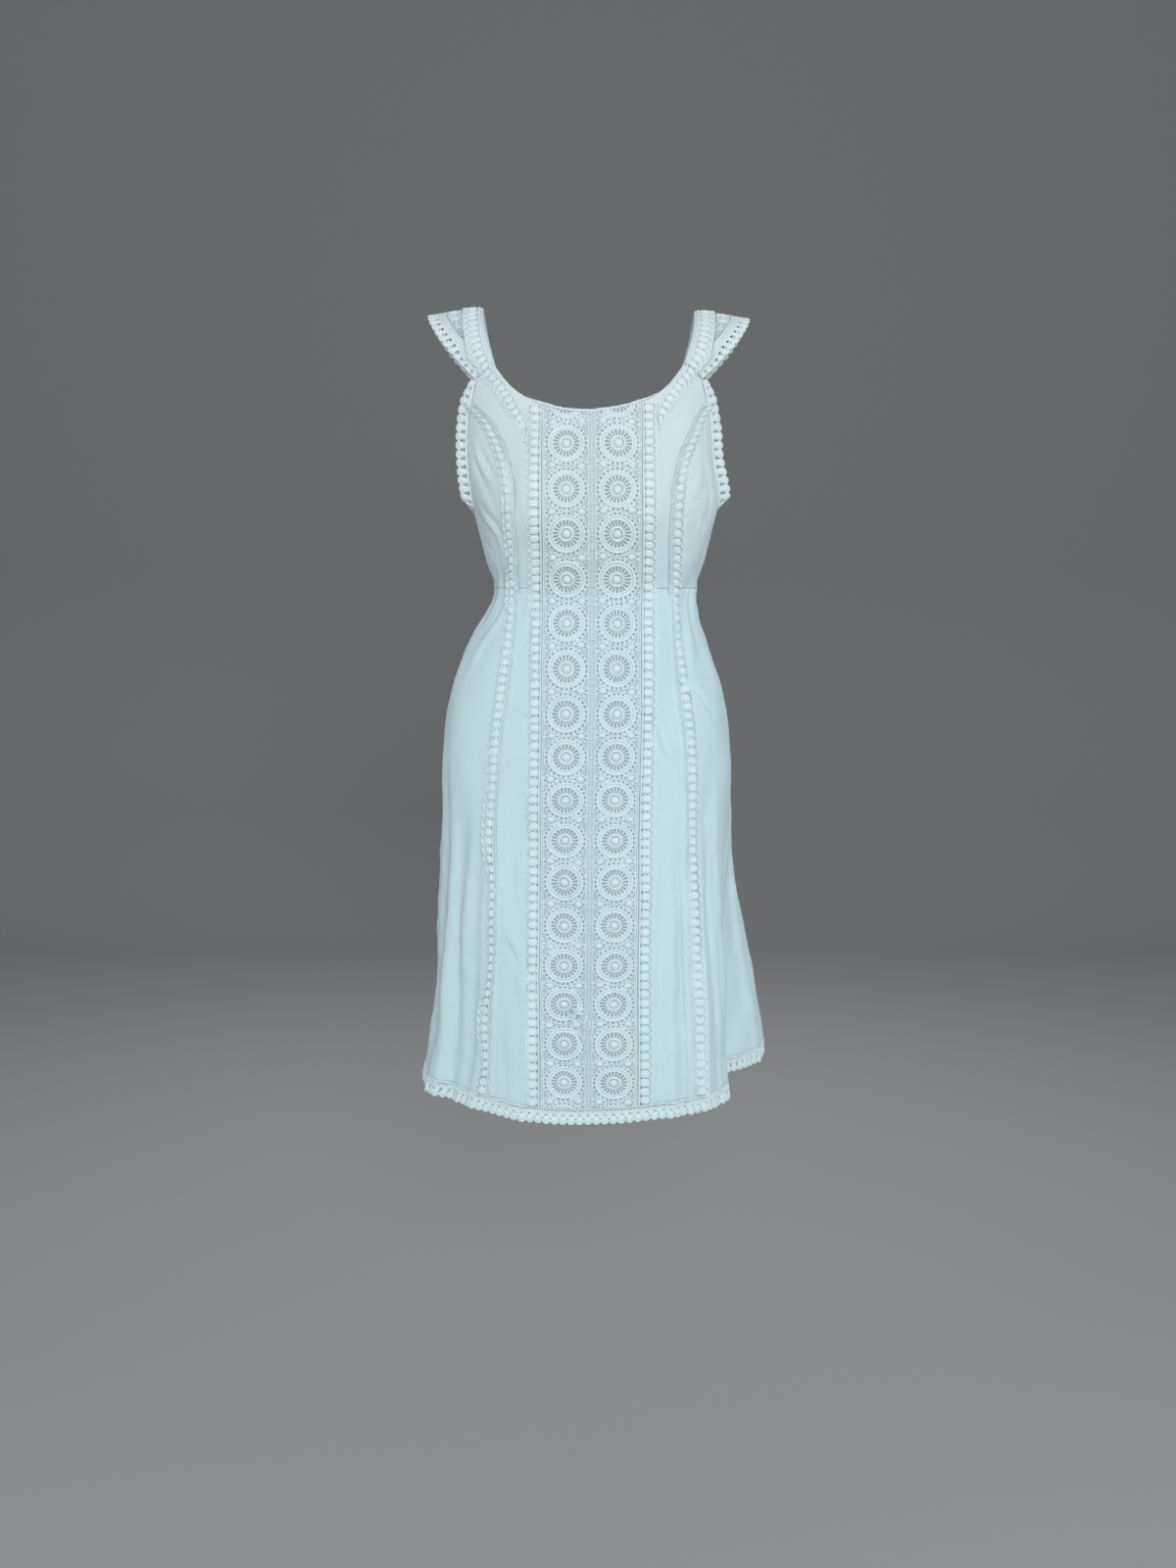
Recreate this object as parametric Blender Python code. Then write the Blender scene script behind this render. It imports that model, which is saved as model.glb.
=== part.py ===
"""Knee-length sleeveless dress with princess seams, a wheel-lace front panel and crochet trims.

Metres, +Z up. The front faces -Y and the wearer's left is +X. The origin is midway between the
straps, level with the underside of the straps where they rest on the shoulders.

Every panel is a closed cloth wall on one garment surface, skin(angle, z). The angle runs round
the body in degrees: 0 is centre front, 90 the wearer's left side, 180 centre back. A seam is a
line of angles down the garment, and each panel lies between two seams.
"""

import functools
import math

import bmesh
import bpy
from mathutils import Vector

# Walls and clearances
CLOTH = 0.0015  # woven cotton with its seam allowances
LACE = 0.0012  # front lace panel
TRIM = 0.0022  # corded crochet trim
SEAM_GAP = 0.0003
TRIM_LIFT = 0.0006  # a trim stands this far off the cloth under it
NECK_TRIM_LIFT = 0.0009

# Heights
WAIST_Z = -0.318
HEM_TRIM_DEPTH = 0.019
FOLD_END_Z = -0.910  # folds have their full reach here
UNDERARM_Z = -0.236
SEAM_TOP_Z = -0.112  # where the princess seam meets the armhole
ZIP_END_Z = -0.425
ZIP_TAPE_END_Z = -0.440
SLIDER_Z = -0.119

# Widths
SIDE_SEAM_DEG = 88.0
LACE_HALF = 0.054
LACE_TRIM_WIDTH = 0.017
PRINCESS_TRIM_WIDTH = 0.0165
HIP_TRIM_GROWTH = 0.004  # how much wider that trim lies from the hips down
NECK_TRIM_WIDTH = 0.024
NECK_BINDING_WIDTH = 0.0045
ARMHOLE_TRIM_WIDTH = 0.0165
CAP_EDGING_WIDTH = 0.022
ZIP_SLOT_HALF = 0.0009  # half the slot that the zip's coil shows in
ZIP_TAPE_HALF = 0.012
ZIP_TAPE = 0.0011  # thickness

# Zip slider, seen from the side: up the zip, and out from the cloth. The pull hangs in its hole.
SLIDER = ((-0.0050, 0.0), (0.0050, 0.0), (0.0050, 0.0016))
SLIDER += ((0.0032, 0.0050), (-0.0032, 0.0050), (-0.0050, 0.0016))
SLIDER_HOLE = ((-0.0016, 0.0020), (0.0016, 0.0020), (0.0019, 0.0030))
SLIDER_HOLE += ((0.0013, 0.0040), (-0.0013, 0.0040), (-0.0019, 0.0030))
SLIDER_HALF = 0.0022  # half its width
# The pull, seen from behind: across, and up from the bar that it turns on.
PULL = ((-0.0036, 0.00055), (0.0036, 0.00055), (0.0040, -0.0045), (0.0032, -0.0240))
PULL += ((0.0020, -0.0255), (-0.0020, -0.0255), (-0.0032, -0.0240), (-0.0040, -0.0045))
PULL_HOLE = ((-0.0026, -0.00055), (0.0026, -0.00055), (0.0027, -0.0032), (0.0027, -0.0052))
PULL_HOLE += ((0.0009, -0.0054), (-0.0009, -0.0054), (-0.0027, -0.0052), (-0.0027, -0.0032))
PULL_BACK, PULL_FRONT = 0.00245, 0.00355  # out from the slider's back

COLOURS = {
    "cotton": ((0.80, 0.83, 0.83), 0.85, 0.0),
    "lace": ((0.84, 0.86, 0.86), 0.90, 0.0),
    "trim": ((0.85, 0.87, 0.87), 0.88, 0.0),
    "zip_tape": ((0.82, 0.84, 0.84), 0.60, 0.0),
    "zip_metal": ((0.80, 0.80, 0.78), 0.40, 0.2),
}


def table(columns, *rows):
    """A list of rows, each with its columns by name, in the order of the first column."""
    return sorted(
        (dict(zip(columns.split(), row)) for row in rows), key=lambda r: next(iter(r.values()))
    )


# Level sections of the worn garment: half-widths to the wearer's left and right of centre, depths
# to the front and back, and how square the outline is (2 is an ellipse).
SECTIONS = table(
    "z left right front back square",
    (-0.055, 0.165, 0.165, 0.070, 0.080, 2.20),
    (-0.090, 0.152, 0.152, 0.086, 0.091, 2.25),
    (-0.125, 0.148, 0.148, 0.098, 0.097, 2.30),
    (-0.165, 0.144, 0.143, 0.111, 0.099, 2.35),
    (-0.215, 0.145, 0.136, 0.122, 0.096, 2.40),
    (-0.245, 0.139, 0.128, 0.123, 0.091, 2.40),
    (-0.285, 0.128, 0.119, 0.111, 0.082, 2.35),
    (-0.318, 0.117, 0.109, 0.100, 0.078, 2.30),
    (-0.345, 0.120, 0.117, 0.102, 0.083, 2.30),
    (-0.390, 0.137, 0.145, 0.111, 0.098, 2.30),
    (-0.440, 0.151, 0.162, 0.118, 0.111, 2.30),
    (-0.500, 0.159, 0.169, 0.124, 0.119, 2.30),
    (-0.590, 0.165, 0.170, 0.130, 0.124, 2.30),
    (-0.690, 0.175, 0.176, 0.137, 0.131, 2.30),
    (-0.790, 0.187, 0.180, 0.144, 0.139, 2.30),
    (-0.870, 0.196, 0.190, 0.149, 0.147, 2.30),
    (-0.925, 0.201, 0.204, 0.152, 0.152, 2.30),
)

# Folds that the skirt hangs in. Each is a ridge, or a trough where its reach is negative. It
# starts at its top and has its full reach at the hem.
FOLDS = table(
    "angle spread top reach",
    (83.0, 19.0, -0.510, -0.064),  # deep trough at the wearer's left side seam
    (121.0, 21.0, -0.430, 0.041),  # flare behind it
    (58.0, 10.0, -0.560, -0.006),
    (-52.0, 7.0, -0.560, -0.007),
    (-68.0, 9.0, -0.440, 0.006),
    (27.0, 6.0, -0.600, 0.004),
    (-24.0, 6.0, -0.560, 0.004),
    (-112.0, 13.0, -0.460, 0.012),
    (-138.0, 10.0, -0.500, -0.012),
    (-162.0, 12.0, -0.520, 0.009),
    (158.0, 12.0, -0.500, -0.010),
)

# The fullness that the princess seams give the bust.
BUST = {"x": 0.078, "z": -0.232, "across": 0.045, "down": 0.050, "reach": 0.008}

# Princess seams, front and back: distance from their middle line down the garment, how far that
# line and the middle of the lace panel lie towards the wearer's left.
PRINCESS = table(
    "z x middle lace",
    (-0.112, 0.1230, 0.0000, 0.0000),
    (-0.130, 0.1120, 0.0020, 0.0010),
    (-0.150, 0.1030, 0.0030, 0.0010),
    (-0.176, 0.0925, 0.0030, 0.0010),
    (-0.2075, 0.0860, 0.0030, 0.0010),
    (-0.265, 0.0825, 0.0030, 0.0010),
    (-0.318, 0.0815, 0.0030, 0.0010),
    (-0.362, 0.0840, 0.0028, 0.0007),
    (-0.424, 0.0905, 0.0025, 0.0005),
    (-0.487, 0.0970, 0.0015, 0.0000),
    (-0.552, 0.1003, 0.0008, -0.0010),
    (-0.640, 0.1025, 0.0000, -0.0018),
    (-0.790, 0.1080, 0.0000, -0.0025),
    (-0.925, 0.1130, 0.0000, -0.0028),
)

# Neck edge from the centre line out to the strap, front and back.
NECK_FRONT = table(
    "x z",
    (0.000, -0.1290),
    (0.030, -0.1257),
    (0.054, -0.1180),
    (0.074, -0.1070),
    (0.089, -0.0940),
    (0.098, -0.0820),
    (0.106, -0.0710),
)
NECK_BACK = table(
    "x z",
    (0.000, -0.1050),
    (0.030, -0.1035),
    (0.054, -0.0995),
    (0.074, -0.0930),
    (0.089, -0.0860),
    (0.098, -0.0790),
    (0.106, -0.0710),
)
NECK_TRIM_EDGE = table(  # lower edge of the neck trim in front, from the lace trim to the strap
    "share x z",
    (0.00, 0.0715, -0.1610),
    (0.33, 0.0886, -0.1375),
    (0.66, 0.1066, -0.1075),
    (1.00, 0.1225, -0.0890),
)
NECK_SHIFT = -0.0025  # the neck and straps sit this far towards the wearer's right
STRAP_DROP = {1: 0.0070, -1: 0.0035}  # how far each strap's crown lies below the origin
STRAP_INNER = (0.106, -0.0710)  # x and z of the strap seam's neck end
STRAP_OUTER = (0.125, -0.0885)  # and of its armhole end

# Armhole edge: angle from centre front, and from centre back, at each height.
ARMHOLE = table(
    "z front back",
    (-0.0885, 53.1, 52.6),
    (-0.1000, 56.0, 56.5),
    (-0.1120, 59.2, 60.2),
    (-0.1250, 62.5, 64.2),
    (-0.1450, 66.5, 69.5),
    (-0.1700, 70.5, 75.0),
    (-0.1950, 73.8, 78.8),
    (-0.2180, 77.6, 83.0),
    (-0.2300, 81.4, 86.6),
    (-0.2360, SIDE_SEAM_DEG, 180.0 - SIDE_SEAM_DEG),
)
ARMHOLE_STAND_SHARE = {1: 0.78, -1: 1.0}  # how far each armhole's trim stands outwards
ARMHOLE_TURN = 1.75  # degrees that the neck's shift turns the tops of the armholes

# The strap over the shoulder, from the front seam to the back one: where its neck edge runs (inner,
# y, z), where the cap's outer edge runs (outer), and how far that edge lies behind the neck edge
# (lean) and below it (fall).
STRAP = table(
    "step inner y z outer lean fall",
    (0.0, 0.1060, -0.0612, -0.0710, 0.1250, 0.0070, 0.0175),
    (1.0, 0.1110, -0.0540, -0.0520, 0.1440, 0.0040, 0.0170),
    (2.0, 0.1155, -0.0420, -0.0330, 0.1640, 0.0010, 0.0130),
    (3.0, 0.1180, -0.0280, -0.0160, 0.1765, 0.0000, 0.0100),
    (4.0, 0.1190, -0.0140, -0.0045, 0.1820, 0.0000, 0.0090),
    (5.0, 0.1195, 0.0000, 0.0000, 0.1828, 0.0000, 0.0090),
    (6.0, 0.1190, 0.0150, -0.0045, 0.1820, 0.0000, 0.0090),
    (7.0, 0.1180, 0.0320, -0.0160, 0.1765, 0.0000, 0.0100),
    (8.0, 0.1155, 0.0470, -0.0330, 0.1640, -0.0010, 0.0130),
    (9.0, 0.1110, 0.0600, -0.0520, 0.1440, -0.0050, 0.0170),
    (10.0, 0.1060, 0.0674, -0.0710, 0.1250, -0.0099, 0.0175),
)
STRAP_CROWN = 5.0  # the step at the top of the shoulder
STRAP_STEP_LENGTH = 0.020
STRAP_ROWS = 14  # rows of points along the strap
BAND_SHARE = 0.74  # most of a narrow strap's width that the plain band takes

# Which way the armhole trim stands from the cloth edge, by height: outwards, backwards, upwards.
ARMHOLE_STAND = table(
    "z out back up",
    (-0.0885, 0.60, 0.45, 0.10),
    (-0.1000, 0.66, 0.50, 0.30),
    (-0.1250, 0.74, 0.50, 0.18),
    (-0.1450, 0.86, 0.40, 0.05),
    (-0.1700, 0.88, 0.36, 0.02),
    (-0.1950, 0.90, 0.28, 0.06),
    (-0.2180, 0.93, 0.20, 0.15),
    (-0.2360, 0.55, 0.15, 0.75),
)

# Lower edge of the hem trim round the garment.
HEM = table(
    "angle z",
    (-180.0, -0.9040),
    (-130.0, -0.9000),
    (-90.0, -0.8925),
    (-60.0, -0.8980),
    (-30.0, -0.9020),
    (-8.0, -0.9095),
    (25.0, -0.9035),
    (55.0, -0.9000),
    (70.0, -0.8975),
    (84.0, -0.8985),
    (105.0, -0.8960),
    (125.0, -0.8890),
    (180.0, -0.9040),
)

# Heights of the rows of points. Panels that meet at a seam share them.
BODICE_ROWS = (SEAM_TOP_Z, -0.125, -0.145, -0.170, -0.193, -0.215, UNDERARM_Z)
BODICE_ROWS += (-0.262, -0.290, WAIST_Z)
CENTRE_ROWS = (-0.124, *BODICE_ROWS[2:])
SHOULDER_ROWS = (STRAP_OUTER[1], -0.100)
SKIRT_ROWS = (WAIST_Z, -0.342, -0.370, -0.405, -0.450, -0.510, -0.585)
SKIRT_ROWS += (-0.665, -0.750, -0.825, -0.890)  # the last follows the hem


def lookup(rows, key, at, column):
    """The column's value where the key column is at, on a smooth curve through the rows."""
    at = min(max(at, rows[0][key]), rows[-1][key])
    i = max(k for k in range(len(rows) - 1) if rows[k][key] <= at)

    def slope(k):
        a, b = rows[max(k - 1, 0)], rows[min(k + 1, len(rows) - 1)]
        return (b[column] - a[column]) / (b[key] - a[key])

    a, b = rows[i], rows[i + 1]
    span = b[key] - a[key]
    t = (at - a[key]) / span
    return (
        (2 * t**3 - 3 * t**2 + 1) * a[column]
        + (t**3 - 2 * t**2 + t) * span * slope(i)
        + (3 * t**2 - 2 * t**3) * b[column]
        + (t**3 - t**2) * span * slope(i + 1)
    )


def smooth_step(t):
    t = min(max(t, 0.0), 1.0)
    return t * t * (3 - 2 * t)


def signed_power(value, power):
    return math.copysign(abs(value) ** power, value)


def fold_reach(angle, z):
    """How far the folds move the cloth out from its section."""
    reach = 0.0
    for fold in FOLDS:
        if z < fold["top"]:
            away = (angle - fold["angle"] + 180.0) % 360.0 - 180.0
            grown = smooth_step((fold["top"] - z) / (fold["top"] - FOLD_END_Z))
            reach += fold["reach"] * grown * math.exp(-((away / fold["spread"]) ** 2))
    return reach


@functools.lru_cache(maxsize=None)
def place(angle, z):
    """The point of the garment's inner face at this angle and height."""
    turn = math.radians(angle)
    sine, cosine = math.sin(turn), math.cos(turn)
    half = lookup(SECTIONS, "z", z, "left" if sine > 0 else "right")
    depth = lookup(SECTIONS, "z", z, "front" if cosine > 0 else "back")
    power = 2 / lookup(SECTIONS, "z", z, "square")
    x = half * signed_power(sine, power)
    y = -depth * signed_power(cosine, power)
    if cosine > 0:
        across = ((abs(x) - BUST["x"]) / BUST["across"]) ** 2
        down = ((z - BUST["z"]) / BUST["down"]) ** 2
        y -= BUST["reach"] * math.exp(-across - down)
    reach = fold_reach(angle, z)
    return Vector((x + reach * sine, y - reach * cosine, z))


def skin(angle, z):
    """The point of the garment's inner face, and its outward normal."""
    turn, drop = 0.5, 0.002
    across = place(angle + turn, z) - place(angle - turn, z)
    up = place(angle, z + drop) - place(angle, z - drop)
    return place(angle, z), across.cross(up).normalized()


def degrees_for(length, angle, z):
    """The turn that moves this far along the cloth."""
    return length / (place(angle + 0.5, z) - place(angle - 0.5, z)).length


def angle_at(x, z, behind=False):
    """The angle where the front, or the back, lies at this distance from the centre line."""
    half = lookup(SECTIONS, "z", z, "left" if x > 0 else "right")
    power = lookup(SECTIONS, "z", z, "square") / 2
    angle = math.degrees(math.asin(signed_power(min(abs(x) / half, 1.0), power)))
    angle = math.copysign(angle, x)
    return (math.copysign(180.0, x) - angle) if behind else angle


def spread(count):
    """Evenly spaced shares from 0 to 1."""
    return [i / count for i in range(count + 1)]


def make_object(name, mesh, colour):
    obj = bpy.data.objects.new(name, mesh)
    bpy.context.scene.collection.objects.link(obj)
    if colour not in bpy.data.materials:
        material = bpy.data.materials.new(colour)
        material.use_nodes = True
        shader = material.node_tree.nodes["Principled BSDF"]
        rgb, roughness, metallic = COLOURS[colour]
        shader.inputs["Base Color"].default_value = (*rgb, 1.0)
        shader.inputs["Roughness"].default_value = roughness
        shader.inputs["Metallic"].default_value = metallic
    mesh.materials.append(bpy.data.materials[colour])


def wall(name, grid, lift, thickness, colour):
    """A cloth wall as its own object. grid is rows of (point, outward normal)."""
    mesh = bpy.data.meshes.new(name)
    bm = bmesh.new()
    inner = [[bm.verts.new(p + n * lift) for p, n in row] for row in grid]
    outer = [[bm.verts.new(p + n * (lift + thickness)) for p, n in row] for row in grid]
    rows, columns = len(grid), len(grid[0])
    for i in range(rows - 1):
        for j in range(columns - 1):
            for side in (inner, outer):
                corners = (side[i][j], side[i][j + 1], side[i + 1][j + 1], side[i + 1][j])
                bm.faces.new(corners)
    rim = [(0, j) for j in range(columns)]
    rim += [(i, columns - 1) for i in range(1, rows)]
    rim += [(rows - 1, j) for j in range(columns - 2, -1, -1)]
    rim += [(i, 0) for i in range(rows - 2, 0, -1)]
    for (i, j), (k, m) in zip(rim, rim[1:] + rim[:1]):
        bm.faces.new((inner[i][j], inner[k][m], outer[k][m], outer[i][j]))
    bmesh.ops.recalc_face_normals(bm, faces=bm.faces)
    bm.to_mesh(mesh)
    bm.free()
    make_object(name, mesh, colour)


def on_skin(spots):
    """Points and normals of rows of (angle, height) spots."""
    return [[skin(*spot) for spot in row] for row in spots]


def between(start, end, share):
    """The line this share of the way from one seam to another."""
    return lambda z: start(z) + (end(z) - start(z)) * share


def beside(start, length):
    """The line this far along the cloth from a seam, away from centre front when positive."""
    return lambda z: start(z) + math.copysign(degrees_for(length, start(z), z), start(z) * length)


def princess_trim_line(start, share):
    """A line down the trim set into a princess seam, at a share of the trim's width."""

    def angle(z):
        width = PRINCESS_TRIM_WIDTH + HIP_TRIM_GROWTH * smooth_step((WAIST_Z - z) / 0.12)
        return beside(start, width * share)(z)

    return angle


def front_line(x):
    """The line down the front at this distance from the middle of the lace panel."""
    return lambda z: angle_at(x + lookup(PRINCESS, "z", z, "lace"), z)


def princess_line(side, behind):
    armhole = armhole_line(side, behind)

    def drawn(z):
        x = side * lookup(PRINCESS, "z", z, "x") + lookup(PRINCESS, "z", z, "middle")
        return angle_at(x, z, behind)

    def angle(z):
        near = max((z - SEAM_TOP_Z) / 0.028 + 1.0, 0.0)
        return drawn(z) + (armhole(SEAM_TOP_Z) - drawn(SEAM_TOP_Z)) * near**1.5

    return angle


def armhole_line(side, behind):
    column = "back" if behind else "front"

    def angle(z):
        value = lookup(ARMHOLE, "z", z, column)
        rise = (z - UNDERARM_Z) / (STRAP_OUTER[1] - UNDERARM_Z)
        value -= side * ARMHOLE_TURN * smooth_step(rise)
        return side * (180.0 - value if behind else value)

    return angle


def shoulder_line(side, behind):
    """The outer seam of the panel that carries the strap: the armhole, then the princess seam."""
    armhole, seam = armhole_line(side, behind), princess_line(side, behind)
    return lambda z: armhole(z) if z >= SEAM_TOP_Z else seam(z)


def hem_height(angle):
    return lookup(HEM, "angle", (angle + 180.0) % 360.0 - 180.0, "z") + HEM_TRIM_DEPTH


def panel_spots(lines, tops, rows, gaps=(SEAM_GAP / 2, SEAM_GAP / 2)):
    """Rows of (angle, height) spots between the first and the last of the lines. tops is the
    height of each line's top, rows the heights down a line that starts at the first of them, and
    gaps the clearance kept to each seam."""
    ends = [rows[-1]] * len(lines)
    if rows[-1] == SKIRT_ROWS[-1]:
        ends = [hem_height(line(rows[-1])) for line in lines]
    spots = []
    for row in rows:
        down = (row - rows[0]) / (rows[-1] - rows[0])
        pairs = [
            min(max(top + (end - top) * down, end + SEAM_GAP / 2), top - SEAM_GAP / 2)
            for top, end in zip(tops, ends)
        ]
        angles = [line(z) for line, z in zip(lines, pairs)]
        turn = math.copysign(1.0, angles[-1] - angles[0])
        angles[0] += turn * degrees_for(gaps[0], angles[0], pairs[0])
        angles[-1] -= turn * degrees_for(gaps[1], angles[-1], pairs[-1])
        spots.append(list(zip(angles, pairs)))
    return spots


def neck_height(line, behind):
    """Where a line down the garment meets the neck edge or the strap seam."""
    neck = NECK_BACK if behind else NECK_FRONT
    z = STRAP_OUTER[1]
    for _ in range(30):
        x = abs(place(line(z), z).x - NECK_SHIFT)
        if x <= STRAP_INNER[0]:
            z = lookup(neck, "x", x, "z")
        else:
            along = (x - STRAP_INNER[0]) / (STRAP_OUTER[0] - STRAP_INNER[0])
            z = STRAP_INNER[1] + min(along, 1.0) * (STRAP_OUTER[1] - STRAP_INNER[1])
    return z


def armhole_height(line, armhole):
    """Where a line down the garment meets the armhole."""
    low, high = UNDERARM_Z, SEAM_TOP_Z
    for _ in range(30):
        middle = (low + high) / 2
        beyond = abs(abs(line(middle)) - 90.0) > abs(abs(armhole(middle)) - 90.0)
        low, high = (middle, high) if beyond else (low, middle)
    return (low + high) / 2


def front_centre():
    """Cloth behind the lace panel, and the lace on it, above and below the waist seam."""
    lines = [front_line(LACE_HALF * (2 * share - 1)) for share in spread(6)]
    necks = [neck_height(line, False) for line in lines]
    for part, tops, rows in (
        ("bodice", necks, CENTRE_ROWS),
        ("skirt", [WAIST_Z] * len(lines), SKIRT_ROWS),
    ):
        spots = panel_spots(lines, tops, rows)
        wall(f"front_centre_{part}", on_skin(spots), 0.0, CLOTH, "cotton")
        spots = panel_spots(lines, tops, rows, (SEAM_GAP, SEAM_GAP))
        wall(f"lace_panel_{part}", on_skin(spots), CLOTH + SEAM_GAP, LACE, "lace")
    return lines, necks


def front_side(side, name):
    """The panels between the lace panel and the princess seam, and the trim beside the lace."""
    start, end = front_line(side * LACE_HALF), shoulder_line(side, False)
    trim = [start, beside(start, LACE_TRIM_WIDTH / 2), beside(start, LACE_TRIM_WIDTH)]
    lines = trim + [between(trim[-1], end, share) for share in (0.28, 0.54, 0.80, 1.0)]
    necks = [neck_height(line, False) for line in lines]
    bodice = panel_spots(lines, necks, SHOULDER_ROWS + BODICE_ROWS)
    wall(f"front_side_{name}_bodice", on_skin(bodice), 0.0, CLOTH, "cotton")
    lines = trim + [between(trim[-1], end, share) for share in (0.5, 1.0)]
    skirt = panel_spots(lines, [WAIST_Z] * len(lines), SKIRT_ROWS)
    wall(f"front_side_{name}_skirt", on_skin(skirt), 0.0, CLOTH, "cotton")
    strip = [row[:3] for row in bodice[:-1] + skirt]
    wall(f"lace_trim_{name}", on_skin(strip), CLOTH + TRIM_LIFT, TRIM, "trim")
    return bodice


def side_panels(side, name, behind):
    """The panels between a princess seam and the side seam. In front, the trim set into the
    princess seam lies on them."""
    place_name = "back_outer" if behind else "side_front"
    start, armhole = princess_line(side, behind), armhole_line(side, behind)

    def end(_):
        return side * SIDE_SEAM_DEG

    trim = [start]
    if not behind:
        trim += [princess_trim_line(start, share) for share in (0.5, 1.0)]
    upper = trim + [between(trim[-1], end, share) for share in spread(4)[1:]]
    tops = [armhole_height(line, armhole) for line in upper]
    tops[0], tops[-1] = SEAM_TOP_Z, UNDERARM_Z
    bodice = panel_spots(upper, tops, BODICE_ROWS)
    wall(f"{place_name}_{name}_bodice", on_skin(bodice), 0.0, CLOTH, "cotton")
    lower = trim + [between(trim[-1], end, share) for share in spread(7)[1:]]
    skirt = panel_spots(lower, [WAIST_Z] * len(lower), SKIRT_ROWS)
    wall(f"{place_name}_{name}_skirt", on_skin(skirt), 0.0, CLOTH, "cotton")
    if not behind:
        for part, spots in (("bodice", bodice), ("skirt", skirt)):
            strip = on_skin([row[:3] for row in spots])
            wall(f"princess_trim_{name}_{part}", strip, CLOTH + TRIM_LIFT, TRIM, "trim")
    return bodice


def back_centre(side, name):
    """The panels between centre back and the back princess seam. The zip's slot is at centre
    back down to below the waist, and a closed seam below it."""

    def start(z):
        slot = ZIP_SLOT_HALF if z > ZIP_END_Z else SEAM_GAP / 2
        return side * (180.0 - degrees_for(slot, 179.0, z))

    end = shoulder_line(side, True)
    near = [start, beside(start, -ZIP_TAPE_HALF)]
    lines = near + [between(near[-1], end, share) for share in (0.28, 0.52, 0.72, 0.87, 1.0)]
    necks = [neck_height(line, True) for line in lines]
    bodice = panel_spots(lines, necks, SHOULDER_ROWS + BODICE_ROWS, (0.0, SEAM_GAP / 2))
    wall(f"back_centre_{name}_bodice", on_skin(bodice), 0.0, CLOTH, "cotton")
    lines = near + [between(near[-1], end, share) for share in (0.34, 0.67, 1.0)]
    skirt = panel_spots(lines, [WAIST_Z] * len(lines), SKIRT_ROWS, (0.0, SEAM_GAP / 2))
    wall(f"back_centre_{name}_skirt", on_skin(skirt), 0.0, CLOTH, "cotton")
    return bodice, skirt


def hem_trims():
    """Scalloped trim along the hem, in a front and a back length that meet at the side seams."""
    for name, first, last, count in (
        ("front", -SIDE_SEAM_DEG, SIDE_SEAM_DEG, 34),
        ("back", SIDE_SEAM_DEG, 360.0 - SIDE_SEAM_DEG, 30),
    ):
        angles = [first + (last - first) * share for share in spread(count)]
        turn = degrees_for(SEAM_GAP / 2, first, FOLD_END_Z)
        angles[0], angles[-1] = angles[0] + turn, angles[-1] - turn
        spots = [
            [(a, hem_height(a) - SEAM_GAP / 2) for a in angles],
            [(a, hem_height(a) - HEM_TRIM_DEPTH) for a in angles],
        ]
        wall(f"hem_trim_{name}", on_skin(spots), 0.0, TRIM, "trim")


def neck_binding(lines, necks, sides):
    """Narrow binding on the neck edge across the lace panel and the trims beside it."""
    spots = list(zip([line(z) for line, z in zip(lines, necks)], necks))
    left, right = sides
    spots = right[0][2:0:-1] + spots + left[0][1:3]
    edge = [(angle, z + SEAM_GAP) for angle, z in spots]
    wall(
        "neck_binding",
        on_skin([edge, [(angle, z + NECK_BINDING_WIDTH) for angle, z in edge]]),
        0.0,
        TRIM,
        "trim",
    )


def strap_reach(step):
    return lookup(STRAP, "step", step, "outer") - lookup(STRAP, "step", step, "inner")


def strap_place(side, step, across):
    """A point of the strap's underside. across is metres outwards from the neck edge."""
    row = {c: lookup(STRAP, "step", step, c) for c in STRAP[0] if c != "step"}
    share = across / strap_reach(step)
    sag = share * (0.55 + 0.45 * share)
    drop = STRAP_DROP[side] * math.sin(math.pi * step / STRAP[-1]["step"])
    # near each seam the strap bends to meet the panel that it is sewn to
    behind = step > STRAP_CROWN
    end = STRAP[-1] if behind else STRAP[0]
    seam_x = side * (end["inner"] + share * (end["outer"] - end["inner"])) + NECK_SHIFT
    seam_z = end["z"] - end["fall"] * sag
    seam_y = place(angle_at(seam_x, seam_z, behind), seam_z).y
    near = max(1 - abs(step - end["step"]) / 3, 0.0) ** 2
    meet = (seam_y - end["y"] - end["lean"] * share) * near
    return Vector(
        (
            side * (row["inner"] + across) + NECK_SHIFT,
            row["y"] + row["lean"] * share + meet,
            row["z"] - row["fall"] * sag - drop,
        )
    )


def strap_skin(side, step, across):
    """The point of the strap's underside, and its outward normal."""
    small, thin = 0.05, 0.0005
    along = strap_place(side, step + small, across) - strap_place(side, step - small, across)
    over = strap_place(side, step, across + thin) - strap_place(side, step, across - thin)
    return strap_place(side, step, across), over.cross(along).normalized() * side


def strap_rows(side, steps, start, end, columns):
    """Points and normals of a strip along the strap between two distances from the neck edge."""
    rows = []
    for step in steps:
        first, last = start(step), end(step)
        across = [first + (last - first) * share for share in spread(columns)]
        rows.append([strap_skin(side, step, a) for a in across])
    return rows


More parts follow.
